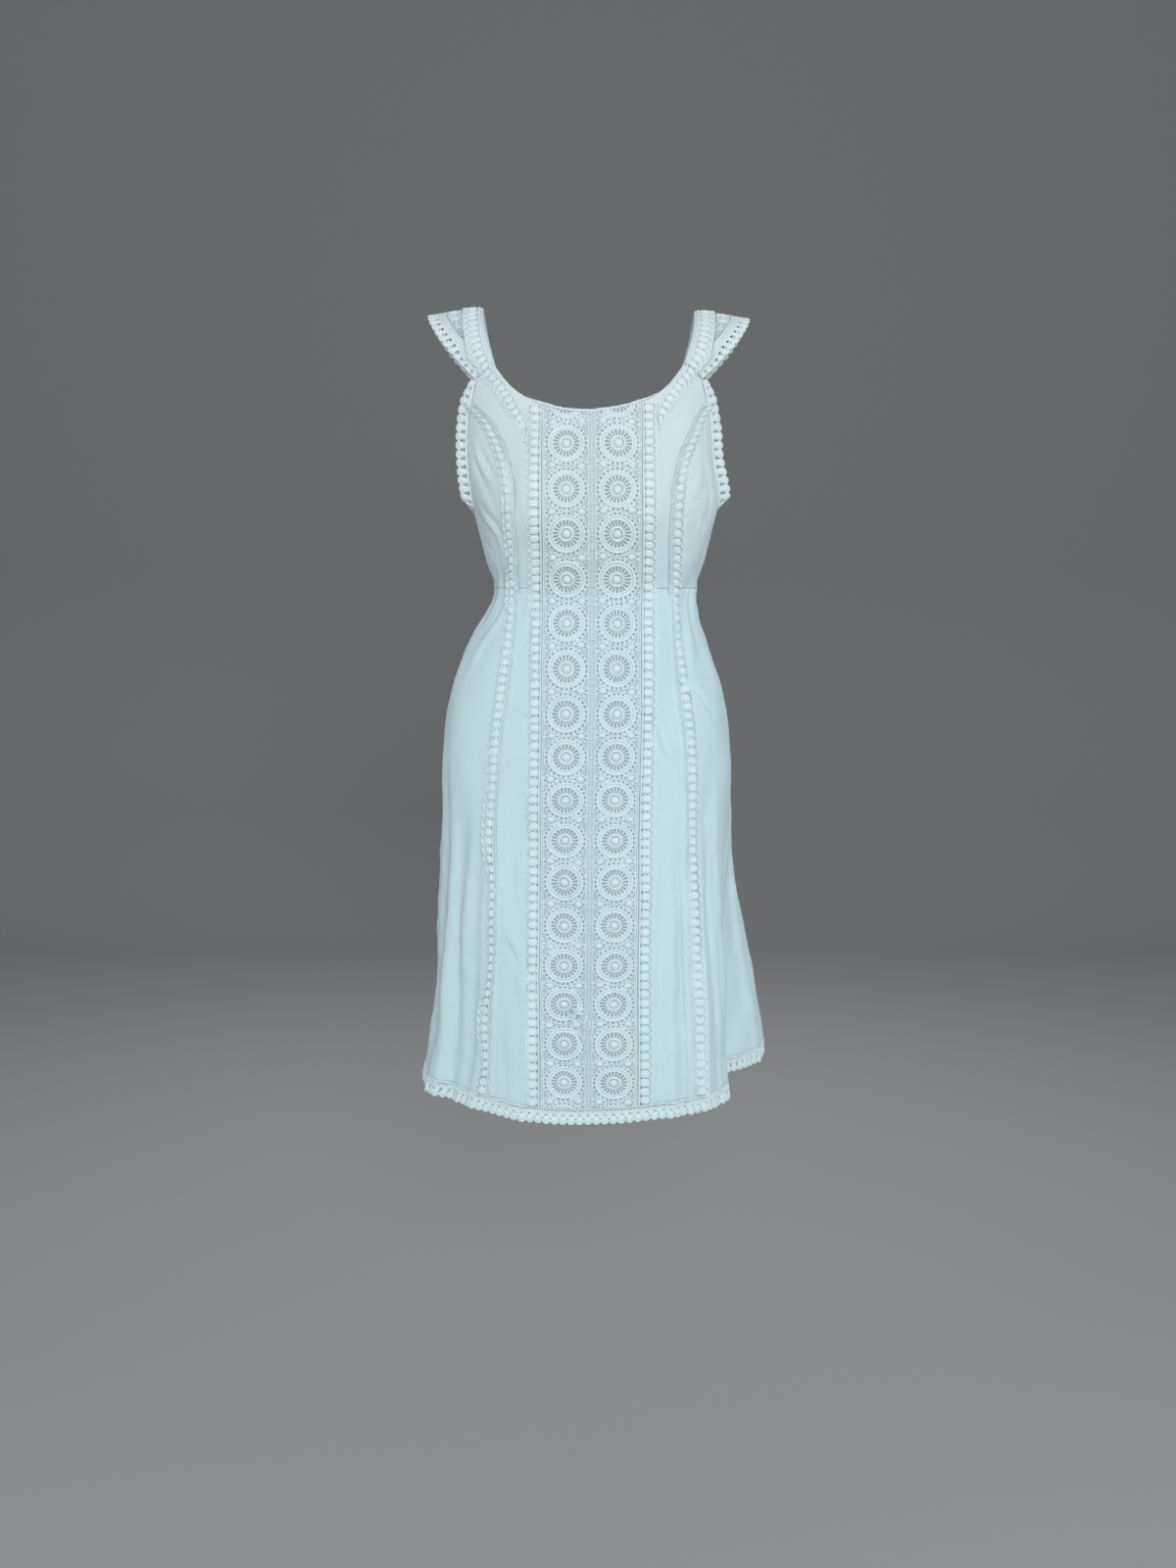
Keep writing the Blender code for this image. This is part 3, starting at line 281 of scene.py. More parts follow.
# Creases: points of (angle, height in mm), how wide and how high in mm (a trough where negative),
# and how the two ends run out (1 fades, 0 runs on).
CREASES = (
    # bodice, wearer's right: long folds from the armhole down to the waist
    (((-61, -150), (-59.5, -168), (-55, -189), (-49.5, -201), (-46, -216)), 3.7, 2.2, 1, 1),
    (((-56, -160), (-52.5, -177), (-48, -192), (-45.5, -206)), 2.8, -1.4, 1, 1),
    (((-65, -160), (-62, -183), (-57.5, -201), (-52, -216), (-47, -238)), 3.0, -1.8, 1, 1),
    (((-62.5, -198), (-57, -219), (-51.5, -234), (-46.5, -246)), 2.8, 1.2, 1, 1),
    (((-68, -217), (-62, -231), (-55, -246), (-49.5, -255), (-45.5, -266)), 2.9, -1.8, 1, 1),
    (((-72, -220), (-62, -240), (-54, -255), (-50.5, -273), (-49.5, -294)), 3.7, 2.1, 1, 1),
    (((-49, -256), (-47, -276), (-47.5, -293), (-50, -312)), 3.0, -1.4, 1, 0),
    (((-76, -252), (-70, -268), (-63, -280), (-59, -292)), 2.9, -1.2, 1, 1),
    (((-84, -262), (-79, -282), (-76, -306)), 3.5, 1.4, 1, 1),
    (((-60, -276), (-62, -296), (-66, -314)), 3.2, 1.1, 1, 0),
    (((-35, -160), (-32.5, -186), (-32.5, -228), (-33.5, -262), (-35, -290)), 2.8, -1.3, 1, 1),
    (((-38, -168), (-35.5, -196), (-35, -232)), 2.9, 1.0, 1, 1),
    # bodice, wearer's left: short folds from the seam towards the armhole, and upright ones
    (((60, -166), (62, -186), (61, -207), (63.5, -231), (66.5, -264)), 3.8, 2.8, 1, 1),
    (((57, -172), (56, -192), (56, -208)), 2.9, -2.2, 1, 1),
    (((42, -227), (46, -216), (50.5, -201), (54, -184)), 2.9, 2.2, 1, 1),
    (((41.5, -236), (47, -226), (52, -216), (55.5, -205)), 2.5, -2.1, 1, 1),
    (((42, -244), (44.5, -235), (50, -225), (55.5, -213)), 2.7, 2.0, 1, 1),
    (((41.5, -251), (44.5, -241), (50, -231), (55, -222)), 2.5, -1.9, 1, 1),
    (((42, -260), (44.5, -249), (47.5, -240), (51, -228)), 2.7, 1.5, 1, 1),
    (((55.5, -270), (54, -249), (56, -229)), 2.9, 1.8, 1, 1),
    (((60, -262), (58, -246), (59, -230)), 2.7, -1.8, 1, 1),
    (((72, -252), (74, -276), (77, -304)), 4.1, 1.9, 1, 1),
    (((58, -280), (64, -300), (70, -316)), 4.1, -1.7, 1, 0),
    (((40, -160), (34, -189), (30.5, -210), (27.5, -234), (26, -262)), 3.8, 1.7, 1, 1),
    (((43, -176), (37.5, -196), (33.5, -218)), 3.2, -1.3, 1, 1),
    # waist to hip, front
    (((-50, -319), (-53, -350), (-58, -392), (-63, -440)), 6.6, 2.0, 0, 1),
    (((-56, -319), (-60, -345), (-66, -384)), 5.1, -1.8, 0, 1),
    (((-66, -319), (-70, -352), (-74, -400)), 6.6, 1.8, 0, 1),
    (((66, -319), (60, -350), (53, -390), (48, -424)), 6.1, 2.2, 0, 1),
    (((80, -319), (76, -352), (70, -400), (66, -450)), 7.2, 1.9, 0, 1),
    (((52, -324), (50, -360), (47, -398)), 5.1, -1.7, 0, 1),
    (((72, -319), (67, -350), (61, -392)), 5.3, -1.8, 0, 1),
    (((-33, -319), (-34, -345), (-33, -380)), 4.8, 1.2, 0, 1),
    (((33, -319), (34, -350), (33, -384)), 4.8, 1.2, 0, 1),
    # pressed across by storage
    (((-33, -449), (-28, -453), (-22, -460), (-17, -463)), 2.4, -1.7, 1, 0),
    (((-33, -443), (-28, -447), (-22, -454), (-17, -458)), 2.6, 1.1, 1, 0),
    (((17, -457), (23, -459), (29, -462), (35, -463)), 2.2, -1.5, 0, 1),
    (((17, -451), (23, -453), (29, -456)), 2.6, 1.0, 0, 1),
    (((-36, -520), (-28, -517), (-18, -519)), 3.0, 0.7, 1, 1),
    (((-70, -706), (-60, -709), (-48, -706)), 2.8, 0.8, 1, 1),
    # skirt front, wearer's left of the lace
    (((22.5, -462), (24, -486), (27, -505), (31, -522)), 3.6, -2.9, 1, 1),
    (((25, -458), (27.5, -480), (31, -500), (34, -516)), 3.8, 2.4, 1, 1),
    (((41, -414), (47, -438), (54, -464), (61, -488)), 4.0, 3.5, 1, 1),
    (((45, -414), (50.5, -436), (57, -458)), 3.6, -2.6, 1, 1),
    (((28, -600), (27, -684), (24.5, -774), (23, -880), (22.5, -912)), 5.2, 3.2, 1, 0),
    (((33, -560), (32, -640), (30, -740), (28.5, -860), (28, -912)), 6.3, -2.8, 1, 0),
    (((47, -560), (43.5, -640), (40.5, -740), (38, -850), (37, -912)), 5.8, 3.1, 1, 0),
    (((52, -500), (49, -600), (48, -720), (47, -850), (47, -912)), 6.8, -3.1, 1, 0),
    (((60, -470), (57, -600), (56, -760), (55, -912)), 7.4, 3.2, 1, 0),
    (((59, -540), (61.5, -618), (66, -699), (66, -790), (65, -912)), 5.2, -3.2, 1, 0),
    # skirt front, wearer's right of the lace
    (((-34, -684), (-28, -703), (-24, -722), (-22, -748), (-20.5, -800)), 4.8, 3.1, 1, 1),
    (((-31, -696), (-26, -715), (-22, -738), (-19.5, -770)), 4.3, -2.5, 1, 1),
    (((-21.5, -760), (-20, -830), (-19.5, -912)), 6.1, 2.4, 1, 0),
    (((-27.5, -570), (-26.5, -633), (-25, -690)), 6.4, -1.8, 1, 1),
    (((-30, -800), (-27, -850), (-26, -912)), 6.9, -2.0, 1, 0),
    (((-44, -480), (-43, -600), (-44, -740), (-45, -912)), 8.8, -2.2, 1, 0),
    (((-49.5, -540), (-49.5, -651), (-51.5, -740), (-51, -912)), 7.6, 2.9, 1, 0),
    (((-57, -560), (-56, -680), (-57, -800), (-57, -912)), 7.6, -2.5, 1, 0),
    (((-64, -500), (-62.5, -657), (-64, -740), (-62, -912)), 7.6, 2.9, 1, 0),
    (((-72, -430), (-70, -560), (-70, -720), (-72, -912)), 9.5, -2.8, 1, 0),
    (((-80, -470), (-79, -620), (-80, -760), (-82, -912)), 8.8, 2.5, 1, 0),
    # through the lace
    (((-9, -770), (-5, -792), (-2, -815), (1, -843)), 3.8, -3.4, 1, 1),
    (((-6, -764), (-2, -788), (1, -810)), 3.8, 2.4, 1, 1),
    (((5, -640), (3, -700), (4, -770), (8, -850)), 7.0, 2.0, 1, 1),
    (((-6, -540), (-9, -620), (-8, -700)), 8.0, -1.9, 1, 1),
    (((8, -380), (6, -430), (3, -470)), 8.0, 1.4, 1, 1),
    (((-8, -280), (0, -268), (8, -276)), 7.0, -1.2, 1, 1),
    # left side, behind the fold
    (((98, -500), (100, -600), (104, -740), (108, -912)), 7.0, 3.8, 1, 0),
    (((112, -440), (112, -560), (115, -700), (118, -912)), 8.0, -3.4, 1, 0),
    (((132, -760), (127, -800), (121, -830), (117, -880)), 5.0, 3.6, 1, 1),
    (((90, -319), (95, -360), (102, -410), (108, -470)), 7.0, 3.4, 0, 1),
    (((84, -560), (82, -660), (82, -780), (84, -912)), 5.5, -4.0, 1, 0),
    # right side
    (((-90, -319), (-94, -362), (-98, -420)), 7.7, 2.4, 0, 1),
    (((-98, -470), (-97, -600), (-98, -760), (-100, -912)), 8.8, 2.9, 1, 0),
    (((-108, -440), (-109, -580), (-111, -740), (-112, -912)), 8.8, -2.6, 1, 0),
    (((-122, -520), (-124, -640), (-126, -780), (-126, -912)), 8.8, 3.0, 1, 0),
    # back bodice
    (((100, -232), (114, -222), (128, -214)), 5.7, -1.4, 1, 1),
    (((104, -250), (118, -236), (132, -226)), 6.2, 1.6, 1, 1),
    (((100, -286), (114, -272), (128, -262), (140, -258)), 6.5, 2.0, 1, 1),
    (((102, -306), (118, -296), (134, -292)), 5.7, -1.5, 1, 1),
    (((98, -264), (108, -252), (120, -246)), 5.1, -1.3, 1, 1),
    (((-104, -252), (-118, -238), (-131, -228)), 6.2, 1.9, 1, 1),
    (((-99, -284), (-113, -272), (-127, -264), (-139, -260)), 6.5, 1.8, 1, 1),
    (((-101, -268), (-114, -255), (-128, -247)), 5.1, -1.4, 1, 1),
    (((-104, -308), (-120, -300), (-136, -297)), 5.9, 1.5, 1, 1),
    (((146, -150), (149, -186), (150, -222)), 6.8, -1.3, 1, 1),
    (((-147, -152), (-150, -190), (-150, -226)), 6.8, -1.3, 1, 1),
    # back skirt
    (((128, -319), (130, -360), (134, -410), (138, -470)), 8.0, 2.6, 0, 1),
    (((-126, -319), (-128, -362), (-132, -416)), 8.0, 2.7, 0, 1),
    (((150, -319), (152, -352), (156, -396)), 6.9, -2.1, 0, 1),
    (((-150, -319), (-153, -356), (-157, -400)), 6.9, 2.1, 0, 1),
    (((144, -480), (145, -600), (146, -760), (147, -912)), 9.2, 3.0, 1, 0),
    (((-148, -500), (-149, -620), (-150, -780), (-151, -912)), 9.2, -2.9, 1, 0),
    (((168, -470), (168, -600), (169, -760), (170, -912)), 9.2, 2.9, 1, 0),
    (((-171, -460), (-172, -580), (-172, -740), (-173, -912)), 9.2, -2.6, 1, 0),
    (((-138, -480), (-139, -600), (-140, -760), (-140, -912)), 8.6, 2.7, 1, 0),
    (((178, -432), (180, -500), (181, -580)), 5.8, -1.8, 0, 1),
)

# How the trim in the wearer's right princess seam has rolled over on itself: its height, the share
# of its width that shows, and how far the rolled part stands up in mm.
ROLLED = table(
    "z share up",
    (-0.912, 0.95, 0.6),
    (-0.872, 0.90, 0.8),
    (-0.852, 0.60, 2.2),
    (-0.834, 0.66, 2.0),
    (-0.816, 0.95, 0.6),
    (-0.784, 0.92, 0.8),
    (-0.768, 0.55, 2.6),
    (-0.735, 0.36, 3.4),
    (-0.700, 0.40, 3.2),
    (-0.665, 0.34, 3.4),
    (-0.640, 0.42, 3.0),
    (-0.615, 0.80, 1.4),
    (-0.590, 1.00, 0.0),
    (-0.300, 1.00, 0.0),
)


# The garment's surface


def lookup(rows, at, column):
    """The column's values where the first column is at, on a smooth curve through the rows."""
    keys, values = next(iter(rows.values())), rows[column]
    at = np.clip(at, keys[0], keys[-1])
    i = np.clip(np.searchsorted(keys, at, side="right") - 1, 0, len(keys) - 2)
    k = np.arange(len(keys))
    before, after = np.maximum(k - 1, 0), np.minimum(k + 1, len(keys) - 1)
    slopes = (values[after] - values[before]) / (keys[after] - keys[before])
    span = keys[i + 1] - keys[i]
    t = (at - keys[i]) / span
    return (
        (2 * t**3 - 3 * t**2 + 1) * values[i]
        + (t**3 - 2 * t**2 + t) * span * slopes[i]
        + (3 * t**2 - 2 * t**3) * values[i + 1]
        + (t**3 - t**2) * span * slopes[i + 1]
    )


def row_at(rows, at):
    """Every column's values where the first column is at."""
    return {column: lookup(rows, at, column) for column in rows}


def smooth_step(t):
    t = np.clip(t, 0.0, 1.0)
    return t * t * (3 - 2 * t)


def signed_power(value, power):
    return np.copysign(np.abs(value) ** power, value)


def wrap(angle):
    return (angle + 180.0) % 360.0 - 180.0


def unit(vectors):
    return vectors / np.maximum(np.linalg.norm(vectors, axis=-1, keepdims=True), 1e-12)


def place(angle, z):
    """Points of the garment's inner face before creases."""
    angle, z = np.broadcast_arrays(np.asarray(angle, float), np.asarray(z, float))
    sine, cosine = np.sin(np.radians(angle)), np.cos(np.radians(angle))
    row = row_at(SECTIONS, z)
    half = np.where(sine > 0, row["left"], row["right"])
    depth = np.where(cosine > 0, row["front"], row["back"])
    power = 2 / row["square"]
    x = half * signed_power(sine, power)
    y = -depth * signed_power(cosine, power)
    across = ((np.abs(x) - BUST["x"]) / BUST["across"]) ** 2
    down = ((z - BUST["z"]) / BUST["down"]) ** 2
    y = y - np.where(cosine > 0, BUST["reach"] * np.exp(-across - down), 0.0)
    reach = np.zeros_like(x)
    for middle, spread, top, full in FOLDS:
        grown = smooth_step((top - z) / (top - FOLD_END_Z))
        reach += full * grown * np.exp(-((wrap(angle - middle) / spread) ** 2))
    return np.stack([x + reach * sine, y - reach * cosine, z], axis=-1)


def angle_at(x, z, behind=False):
    """The angle of the point at this x and height, in front or behind."""
    row = row_at(SECTIONS, z)
    share = np.minimum(np.abs(x) / np.where(x > 0, row["left"], row["right"]), 1.0)
    angle = np.degrees(np.arcsin(share ** (row["square"] / 2)))
    angle = np.copysign(angle, x)
    return np.copysign(180.0, x) - angle if behind else angle


def degrees_for(length, angle, z):
    """How many degrees a length across the cloth takes up here."""
    step = place(angle + 0.5, z) - place(angle - 0.5, z)
    return length / np.linalg.norm(step, axis=-1)


def front_line(x):
    """A line down the front that keeps this x but for the lace's own shift."""
    return lambda z: angle_at(x + lookup(PRINCESS, z, "lace"), z)


def beside(start, length):
    """A line at a distance from another, outwards where the distance is positive."""

    def angle(z):
        return start(z) + np.copysign(degrees_for(length, start(z), z), start(z) * length)

    return angle


def armhole_line(side, behind):
    column = "back" if behind else "front"

    def angle(z):
        value = lookup(ARMHOLE, z, column)
        rise = (z - UNDERARM_Z) / (STRAP_OUTER[1] - UNDERARM_Z)
        value = value - side * ARMHOLE_TURN * smooth_step(rise)
        return side * (180.0 - value if behind else value)

    return angle


def princess_line(side, behind):
    armhole = armhole_line(side, behind)

    def drawn(z):
        x = side * lookup(PRINCESS, z, "x") + lookup(PRINCESS, z, "middle")
        return angle_at(x, z, behind)

    def angle(z):
        near = np.maximum((z - SEAM_TOP_Z) / SEAM_EASE + 1.0, 0.0)
        top = np.array(SEAM_TOP_Z)
        return drawn(z) + (armhole(top) - drawn(top)) * near**1.5

    return angle


def shoulder_line(side, behind):
    """The princess seam, with the armhole's edge above it."""
    armhole, seam = armhole_line(side, behind), princess_line(side, behind)
    return lambda z: np.where(z >= SEAM_TOP_Z, armhole(z), seam(z))


def side_line(side):
    return lambda z: np.full_like(z, side * SIDE_SEAM_DEG)


def centre_back_line(side):
    def angle(z):
        slot = np.where(z > ZIP_END_Z, ZIP_SLOT_HALF, SEAM_GAP / 2)
        return side * (180.0 - degrees_for(slot, ZIP_SIDE_DEG, z))

    return angle


def hem_height(angle):
    return lookup(HEM, wrap(angle), "z") + HEM_TRIM_DEPTH


def neck_height(line, like, behind):
    """Where lines down the garment meet the neck edge or the strap seam."""
    neck = NECK_BACK if behind else NECK_FRONT
    z = np.full_like(like, STRAP_OUTER[1])
    for _ in range(30):
        x = np.abs(place(line(z), z)[..., 0] - NECK_SHIFT)
        along = np.clip((x - STRAP_INNER[0]) / (STRAP_OUTER[0] - STRAP_INNER[0]), 0.0, 1.0)
        strap = STRAP_INNER[1] + along * (STRAP_OUTER[1] - STRAP_INNER[1])
        z = np.where(x <= STRAP_INNER[0], lookup(neck, x, "z"), strap)
    return z


def armhole_height(line, like, armhole):
    """Where lines down the garment meet the armhole."""
    low, high = np.full_like(like, UNDERARM_Z), np.full_like(like, SEAM_TOP_Z)
    for _ in range(30):
        middle = (low + high) / 2
        beyond = np.abs(np.abs(line(middle)) - 90) > np.abs(np.abs(armhole(middle)) - 90)
        low, high = np.where(beyond, middle, low), np.where(beyond, high, middle)
    return (low + high) / 2


def grid_normals(points):
    """Outward normals of points over (height, angle), closed round the body."""
    looped = np.concatenate([points[:, -2:-1], points, points[:, 1:2]], axis=1)
    across = looped[:, 2:] - looped[:, :-2]
    up = np.gradient(points, axis=0)
    return unit(np.cross(across, up))


def waves(at, seed, spans):
    """A smooth uneven curve between about -1 and 1."""
    phases = np.random.default_rng(seed).uniform(0, 2 * np.pi, len(spans))
    return sum(np.sin(2 * np.pi * at / s + p) for s, p in zip(spans, phases)) / len(spans)


class Surface:
    """The garment's inner face with its creases, sampled over angle and height."""

    DEGREES, DROP = 0.25, 0.001

    def __init__(self):
        self.angles = np.arange(-180.0, 180.0 + self.DEGREES / 2, self.DEGREES)
        self.heights = np.arange(-0.940, -0.049, self.DROP)
        self.angle, self.z = np.meshgrid(self.angles, self.heights)
        base = place(self.angle, self.z)
        normals = grid_normals(base)
        reach = self.unevenness(base)
        for seed, crease in enumerate(CREASES):
            self.add_crease(reach, base, crease, seed)
        reach += self.puckers(base)
        reach *= smooth_step((FLAT_ABOVE_Z - self.z) / 0.030)
        reach[:, -1] = reach[:, 0]
        self.points = base + normals * reach[..., None]
        self.normals = grid_normals(self.points)

    def unevenness(self, base):
        """Low swells that any worn cloth has."""
        rng = np.random.default_rng(11)
        total = np.zeros(base.shape[:2])
        for span in (0.046, 0.058, 0.071, 0.093, 0.120):
            for _ in range(2):
                way = unit(rng.normal(size=3) * (1.0, 1.0, 0.55))
                phase = rng.uniform(0, 2 * np.pi)
                total += np.sin(base @ way * 2 * np.pi / span + phase) * (0.010 * span)
        return total * 0.75

    def puckers(self, base):
        """Small gathers that the stitching draws beside each seam."""
        total = np.zeros(base.shape[:2])
        lines = []
        for side, _ in SIDES:
            lines += [(princess_line(side, behind), SEAM_TOP_Z) for behind in (False, True)]
            lines.append((side_line(side), -0.215))
            lines.append((front_line(side * (LACE_HALF + LACE_TRIM_WIDTH + 0.0005)), -0.115))
        one_degree = round(1 / self.DEGREES)
        per_degree = np.linalg.norm(np.roll(base, -one_degree, axis=1) - base, axis=-1)
        z = self.heights
        spread, height = 0.008, 0.00055
        for i, (line, top) in enumerate(lines):
            away = wrap(self.angle - line(z)[:, None]) * per_degree
            for way in (1, -1):
                ripple = waves(z, 50 + 2 * i + way, (0.0105, 0.0153, 0.0217))
                swell = 0.5 + 0.5 * waves(z, 80 + i, (0.070, 0.113))
                near = np.exp(-np.abs(away) / spread) * (way * away > 0)
                total += near * (ripple * swell * (z < top))[:, None] * height
        waist = (WAIST_Z, 5, 0.00055)
        above_hem_trim = (hem_height(self.angle), 9, 0.00045)
        for level, seed, height in (waist, above_hem_trim):
            ripple = waves(self.angle * 0.0024, seed, (0.0112, 0.0171, 0.0243))
            total += np.exp(-np.abs(self.z - level) / 0.009) * ripple * height
        return total

    def add_crease(self, reach, base, crease, seed):
        """Adds one crease to how far the cloth stands out."""
        spots, width, height, first, last = crease
        width, height = width / 1000, height / 1000
        line = self.smooth_line(spots)
        block = self.block_around(line, 3.2 * width)
        gap, along, flank, length = self.nearest_on(line, base, block)
        fade = np.ones_like(along)
        if first:
            fade *= smooth_step(along / length / CREASE_FADE)
        if last:
            fade *= smooth_step((1 - along / length) / CREASE_FADE)
        uneven = 1 + 0.28 * waves(along, 200 + seed, (0.031, 0.047, 0.083))
        # one flank is steeper than the other
        lean = (1 if seed % 2 else -1) * 0.28
        spread = width * (1 + 0.18 * waves(along, 400 + seed, (0.043, 0.071))) * (1 + lean * flank)
        d = (gap / spread) ** 2
        reach[block] += height * fade * uneven * (1 - 0.55 * d) * np.exp(-0.62 * d)

    def smooth_line(self, spots):
        """A crease's line through its spots, as short steps of angle and height."""
        spots = np.array(spots, float) / (1.0, 1000.0)
        keys = np.arange(len(spots), dtype=float)
        rows = {"k": keys, "angle": spots[:, 0], "z": spots[:, 1]}
        at = np.linspace(0, keys[-1], int(keys[-1]) * 6 + 1)
        return np.stack([lookup(rows, at, column) for column in ("angle", "z")], axis=-1)

    def block_around(self, line, margin):
        """The rows and columns of samples near a line."""
        (left, low), (right, high) = line.min(axis=0), line.max(axis=0)
        rows = np.flatnonzero((self.heights > low - margin) & (self.heights < high + margin))
        half = (right - left) / 2 + math.degrees(margin / SMALLEST_RADIUS)
        columns = np.flatnonzero(np.abs(wrap(self.angles - (left + right) / 2)) < half)
        return np.ix_(rows, columns)

    def nearest_on(self, line, base, block):
        """How far each sample of a block is from a line, how far along the line that is, on which
        flank the sample lies, and the line's length."""
        path, points = place(line[:, 0], line[:, 1]), base[block]
        nearest = np.full(points.shape[:2], np.inf)
        along, flank = np.zeros_like(nearest), np.zeros_like(nearest)
        steps = np.linalg.norm(np.diff(path, axis=0), axis=1)
        starts = np.concatenate([[0.0], np.cumsum(steps)])
        for k, (a, b) in enumerate(zip(path[:-1], path[1:])):
            way = b - a
            inside = np.clip(((points - a) @ way) / (way @ way), 0.0, 1.0)
            gap = np.linalg.norm(points - (a + inside[..., None] * way), axis=-1)
            turned = wrap(self.angle[block] - line[k, 0]) * way[2]
            risen = (self.z[block] - a[2]) * (line[k + 1, 0] - line[k, 0])
            closer = gap < nearest
            nearest = np.where(closer, gap, nearest)
            along = np.where(closer, starts[k] + inside * steps[k], along)
            flank = np.where(closer, np.sign(turned - risen), flank)
        return nearest, along, flank, starts[-1]

    def at(self, angle, z):
        """Points and outward normals at these angles and heights."""
        column = (np.asarray(angle) + 180.0) % 360.0 / self.DEGREES
        row = np.clip((np.asarray(z) - self.heights[0]) / self.DROP, 0, len(self.heights) - 1.001)
        i, k = row.astype(int), np.minimum(column.astype(int), len(self.angles) - 2)
        u, v = (column - k)[..., None], (row - i)[..., None]

        def mix(field):
            low = field[i, k] * (1 - u) + field[i, k + 1] * u
            high = field[i + 1, k] * (1 - u) + field[i + 1, k + 1] * u
            return low * (1 - v) + high * v

        return mix(self.points), unit(mix(self.normals))


# Meshes


def make_object(name, points, faces, uvs, material):
    """A closed mesh, with its faces turned outwards. faces is a list of index arrays."""
    mesh = bpy.data.meshes.new(name)
    volume = 0.0
    for array in faces:
        a = points[array[:, 0]]
        for k in range(1, array.shape[1] - 1):
            cross = np.cross(points[array[:, k]] - a, points[array[:, k + 1]] - a)
            volume += (a * cross).sum()
    if volume < 0:
        faces = [array[:, ::-1] for array in faces]
    loops = np.concatenate([array.ravel() for array in faces]).astype(np.int32)
    sizes = np.concatenate([np.full(len(array), array.shape[1]) for array in faces])
    starts = np.concatenate([[0], np.cumsum(sizes)[:-1]]).astype(np.int32)
    mesh.vertices.add(len(points))
    mesh.vertices.foreach_set("co", points.astype(np.float32).ravel())
    mesh.loops.add(len(loops))
    mesh.loops.foreach_set("vertex_index", loops)
    mesh.polygons.add(len(sizes))
    mesh.polygons.foreach_set("loop_start", starts)
    layer = mesh.uv_layers.new(name="UVMap")
    layer.data.foreach_set("uv", uvs[loops].astype(np.float32).ravel())
    mesh.update(calc_edges=True)
    mesh.validate()
    mesh.shade_smooth()
    mesh.set_sharp_from_angle(angle=math.radians(60))
    obj = bpy.data.objects.new(name, mesh)
    bpy.context.scene.collection.objects.link(obj)
    mesh.materials.append(material)
    return obj


def ticks(length, step):
    """Distances from 0 to length, close together at both ends."""
    fine = np.array([0.0, 0.0003, 0.0008, 0.0016])
    if length < 0.006:
        return np.linspace(0, length, 5)
    count = max(int(round((length - 2 * fine[-1]) / step)), 1)
    middle = np.linspace(fine[-1], length - fine[-1], count + 1)
    return np.concatenate([fine[:-1], middle, length - fine[-2::-1]])


def shell(name, points, normals, depth, material, lift=0.0):
    """A cloth wall over a grid of points, with its width and length laid flat and its area. Its
    outer face rounds down to its edges."""
    rows, columns = points.shape[:2]

    def from_start(axis):
        steps = np.linalg.norm(np.diff(points, axis=axis), axis=-1)
        zeros = np.zeros_like(steps.take([0], axis=axis))
        return np.concatenate([zeros, np.cumsum(steps, axis=axis)], axis=axis)

    across, down = from_start(1), from_start(0)
    edge = np.minimum(np.minimum(across, across[:, -1:] - across), down)
    edge = np.minimum(edge, down[-1:] - down)
    inside = np.clip(edge / EDGE_ROUNDING, 0, 1)
    full = EDGE_SHARE + (1 - EDGE_SHARE) * np.sin(np.pi / 2 * inside)
    inner = points + normals * lift
    outer = points + normals * (lift + depth * full[..., None])
    index = np.arange(rows * columns).reshape(rows, columns)

    def quads(a):
        return np.stack([a[:-1, :-1], a[1:, :-1], a[1:, 1:], a[:-1, 1:]], axis=-1).reshape(-1, 4)

    rim = np.concatenate([index[0], index[1:, -1], index[-1, -2::-1], index[-2:0:-1, 0]])
    following = np.roll(rim, -1)
    total = rows * columns
    edges = np.stack([rim + total, following + total, following, rim], axis=-1)
    faces = [np.concatenate([quads(index + total), quads(index)[:, ::-1], edges[:, ::-1]])]
    flat = np.stack([across.mean(axis=0)[None, :] + 0 * down, points[..., 2]], axis=-1)
    uvs = np.concatenate([flat.reshape(-1, 2)] * 2)
    both = np.concatenate([inner.reshape(-1, 3), outer.reshape(-1, 3)])
    obj = make_object(name, both, faces, uvs, material)
    sizes = across[:, -1].max(), down[-1].max()
    a = points[1:, 1:] - points[:-1, :-1]
    b = points[1:, :-1] - points[:-1, 1:]
    area = np.linalg.norm(np.cross(a, b), axis=-1).sum() / 2
    return obj, sizes, area


# Thread-work, modelled flat in millimetres: along, across and up


def solid(points, quads, triangles=()):
    """A closed solid with its faces turned outwards."""
    points = np.asarray(points, float)
    quads = np.asarray(quads, int).reshape(-1, 4)
    triangles = np.asarray(triangles, int).reshape(-1, 3)
    whole = np.concatenate([triangles, quads[:, :3], quads[:, [0, 2, 3]]])
    a, b, c = (points[whole[:, k]] for k in range(3))
    if (a * np.cross(b, c)).sum() < 0:
        quads, triangles = quads[:, ::-1], triangles[:, ::-1]
    return points, quads, triangles


def join(parts):
    """Several solids as one."""
    points, quads, triangles, count = [], [], [], 0
    for p, q, t in parts:
        points.append(p)
        quads.append(q + count)
        triangles.append(t + count)
        count += len(p)
    return np.concatenate(points), np.concatenate(quads), np.concatenate(triangles)


def moved(part, along=0.0, across=0.0, turn=0.0, scale=(1.0, 1.0, 1.0)):
    """A copy of a part, scaled, turned and then moved."""
    points, quads, triangles = part
    c, s = math.cos(turn), math.sin(turn)
    x, y, up = (points * scale).T
    placed = np.stack([x * c - y * s + along, x * s + y * c + across, up], axis=-1)
    return placed, quads, triangles


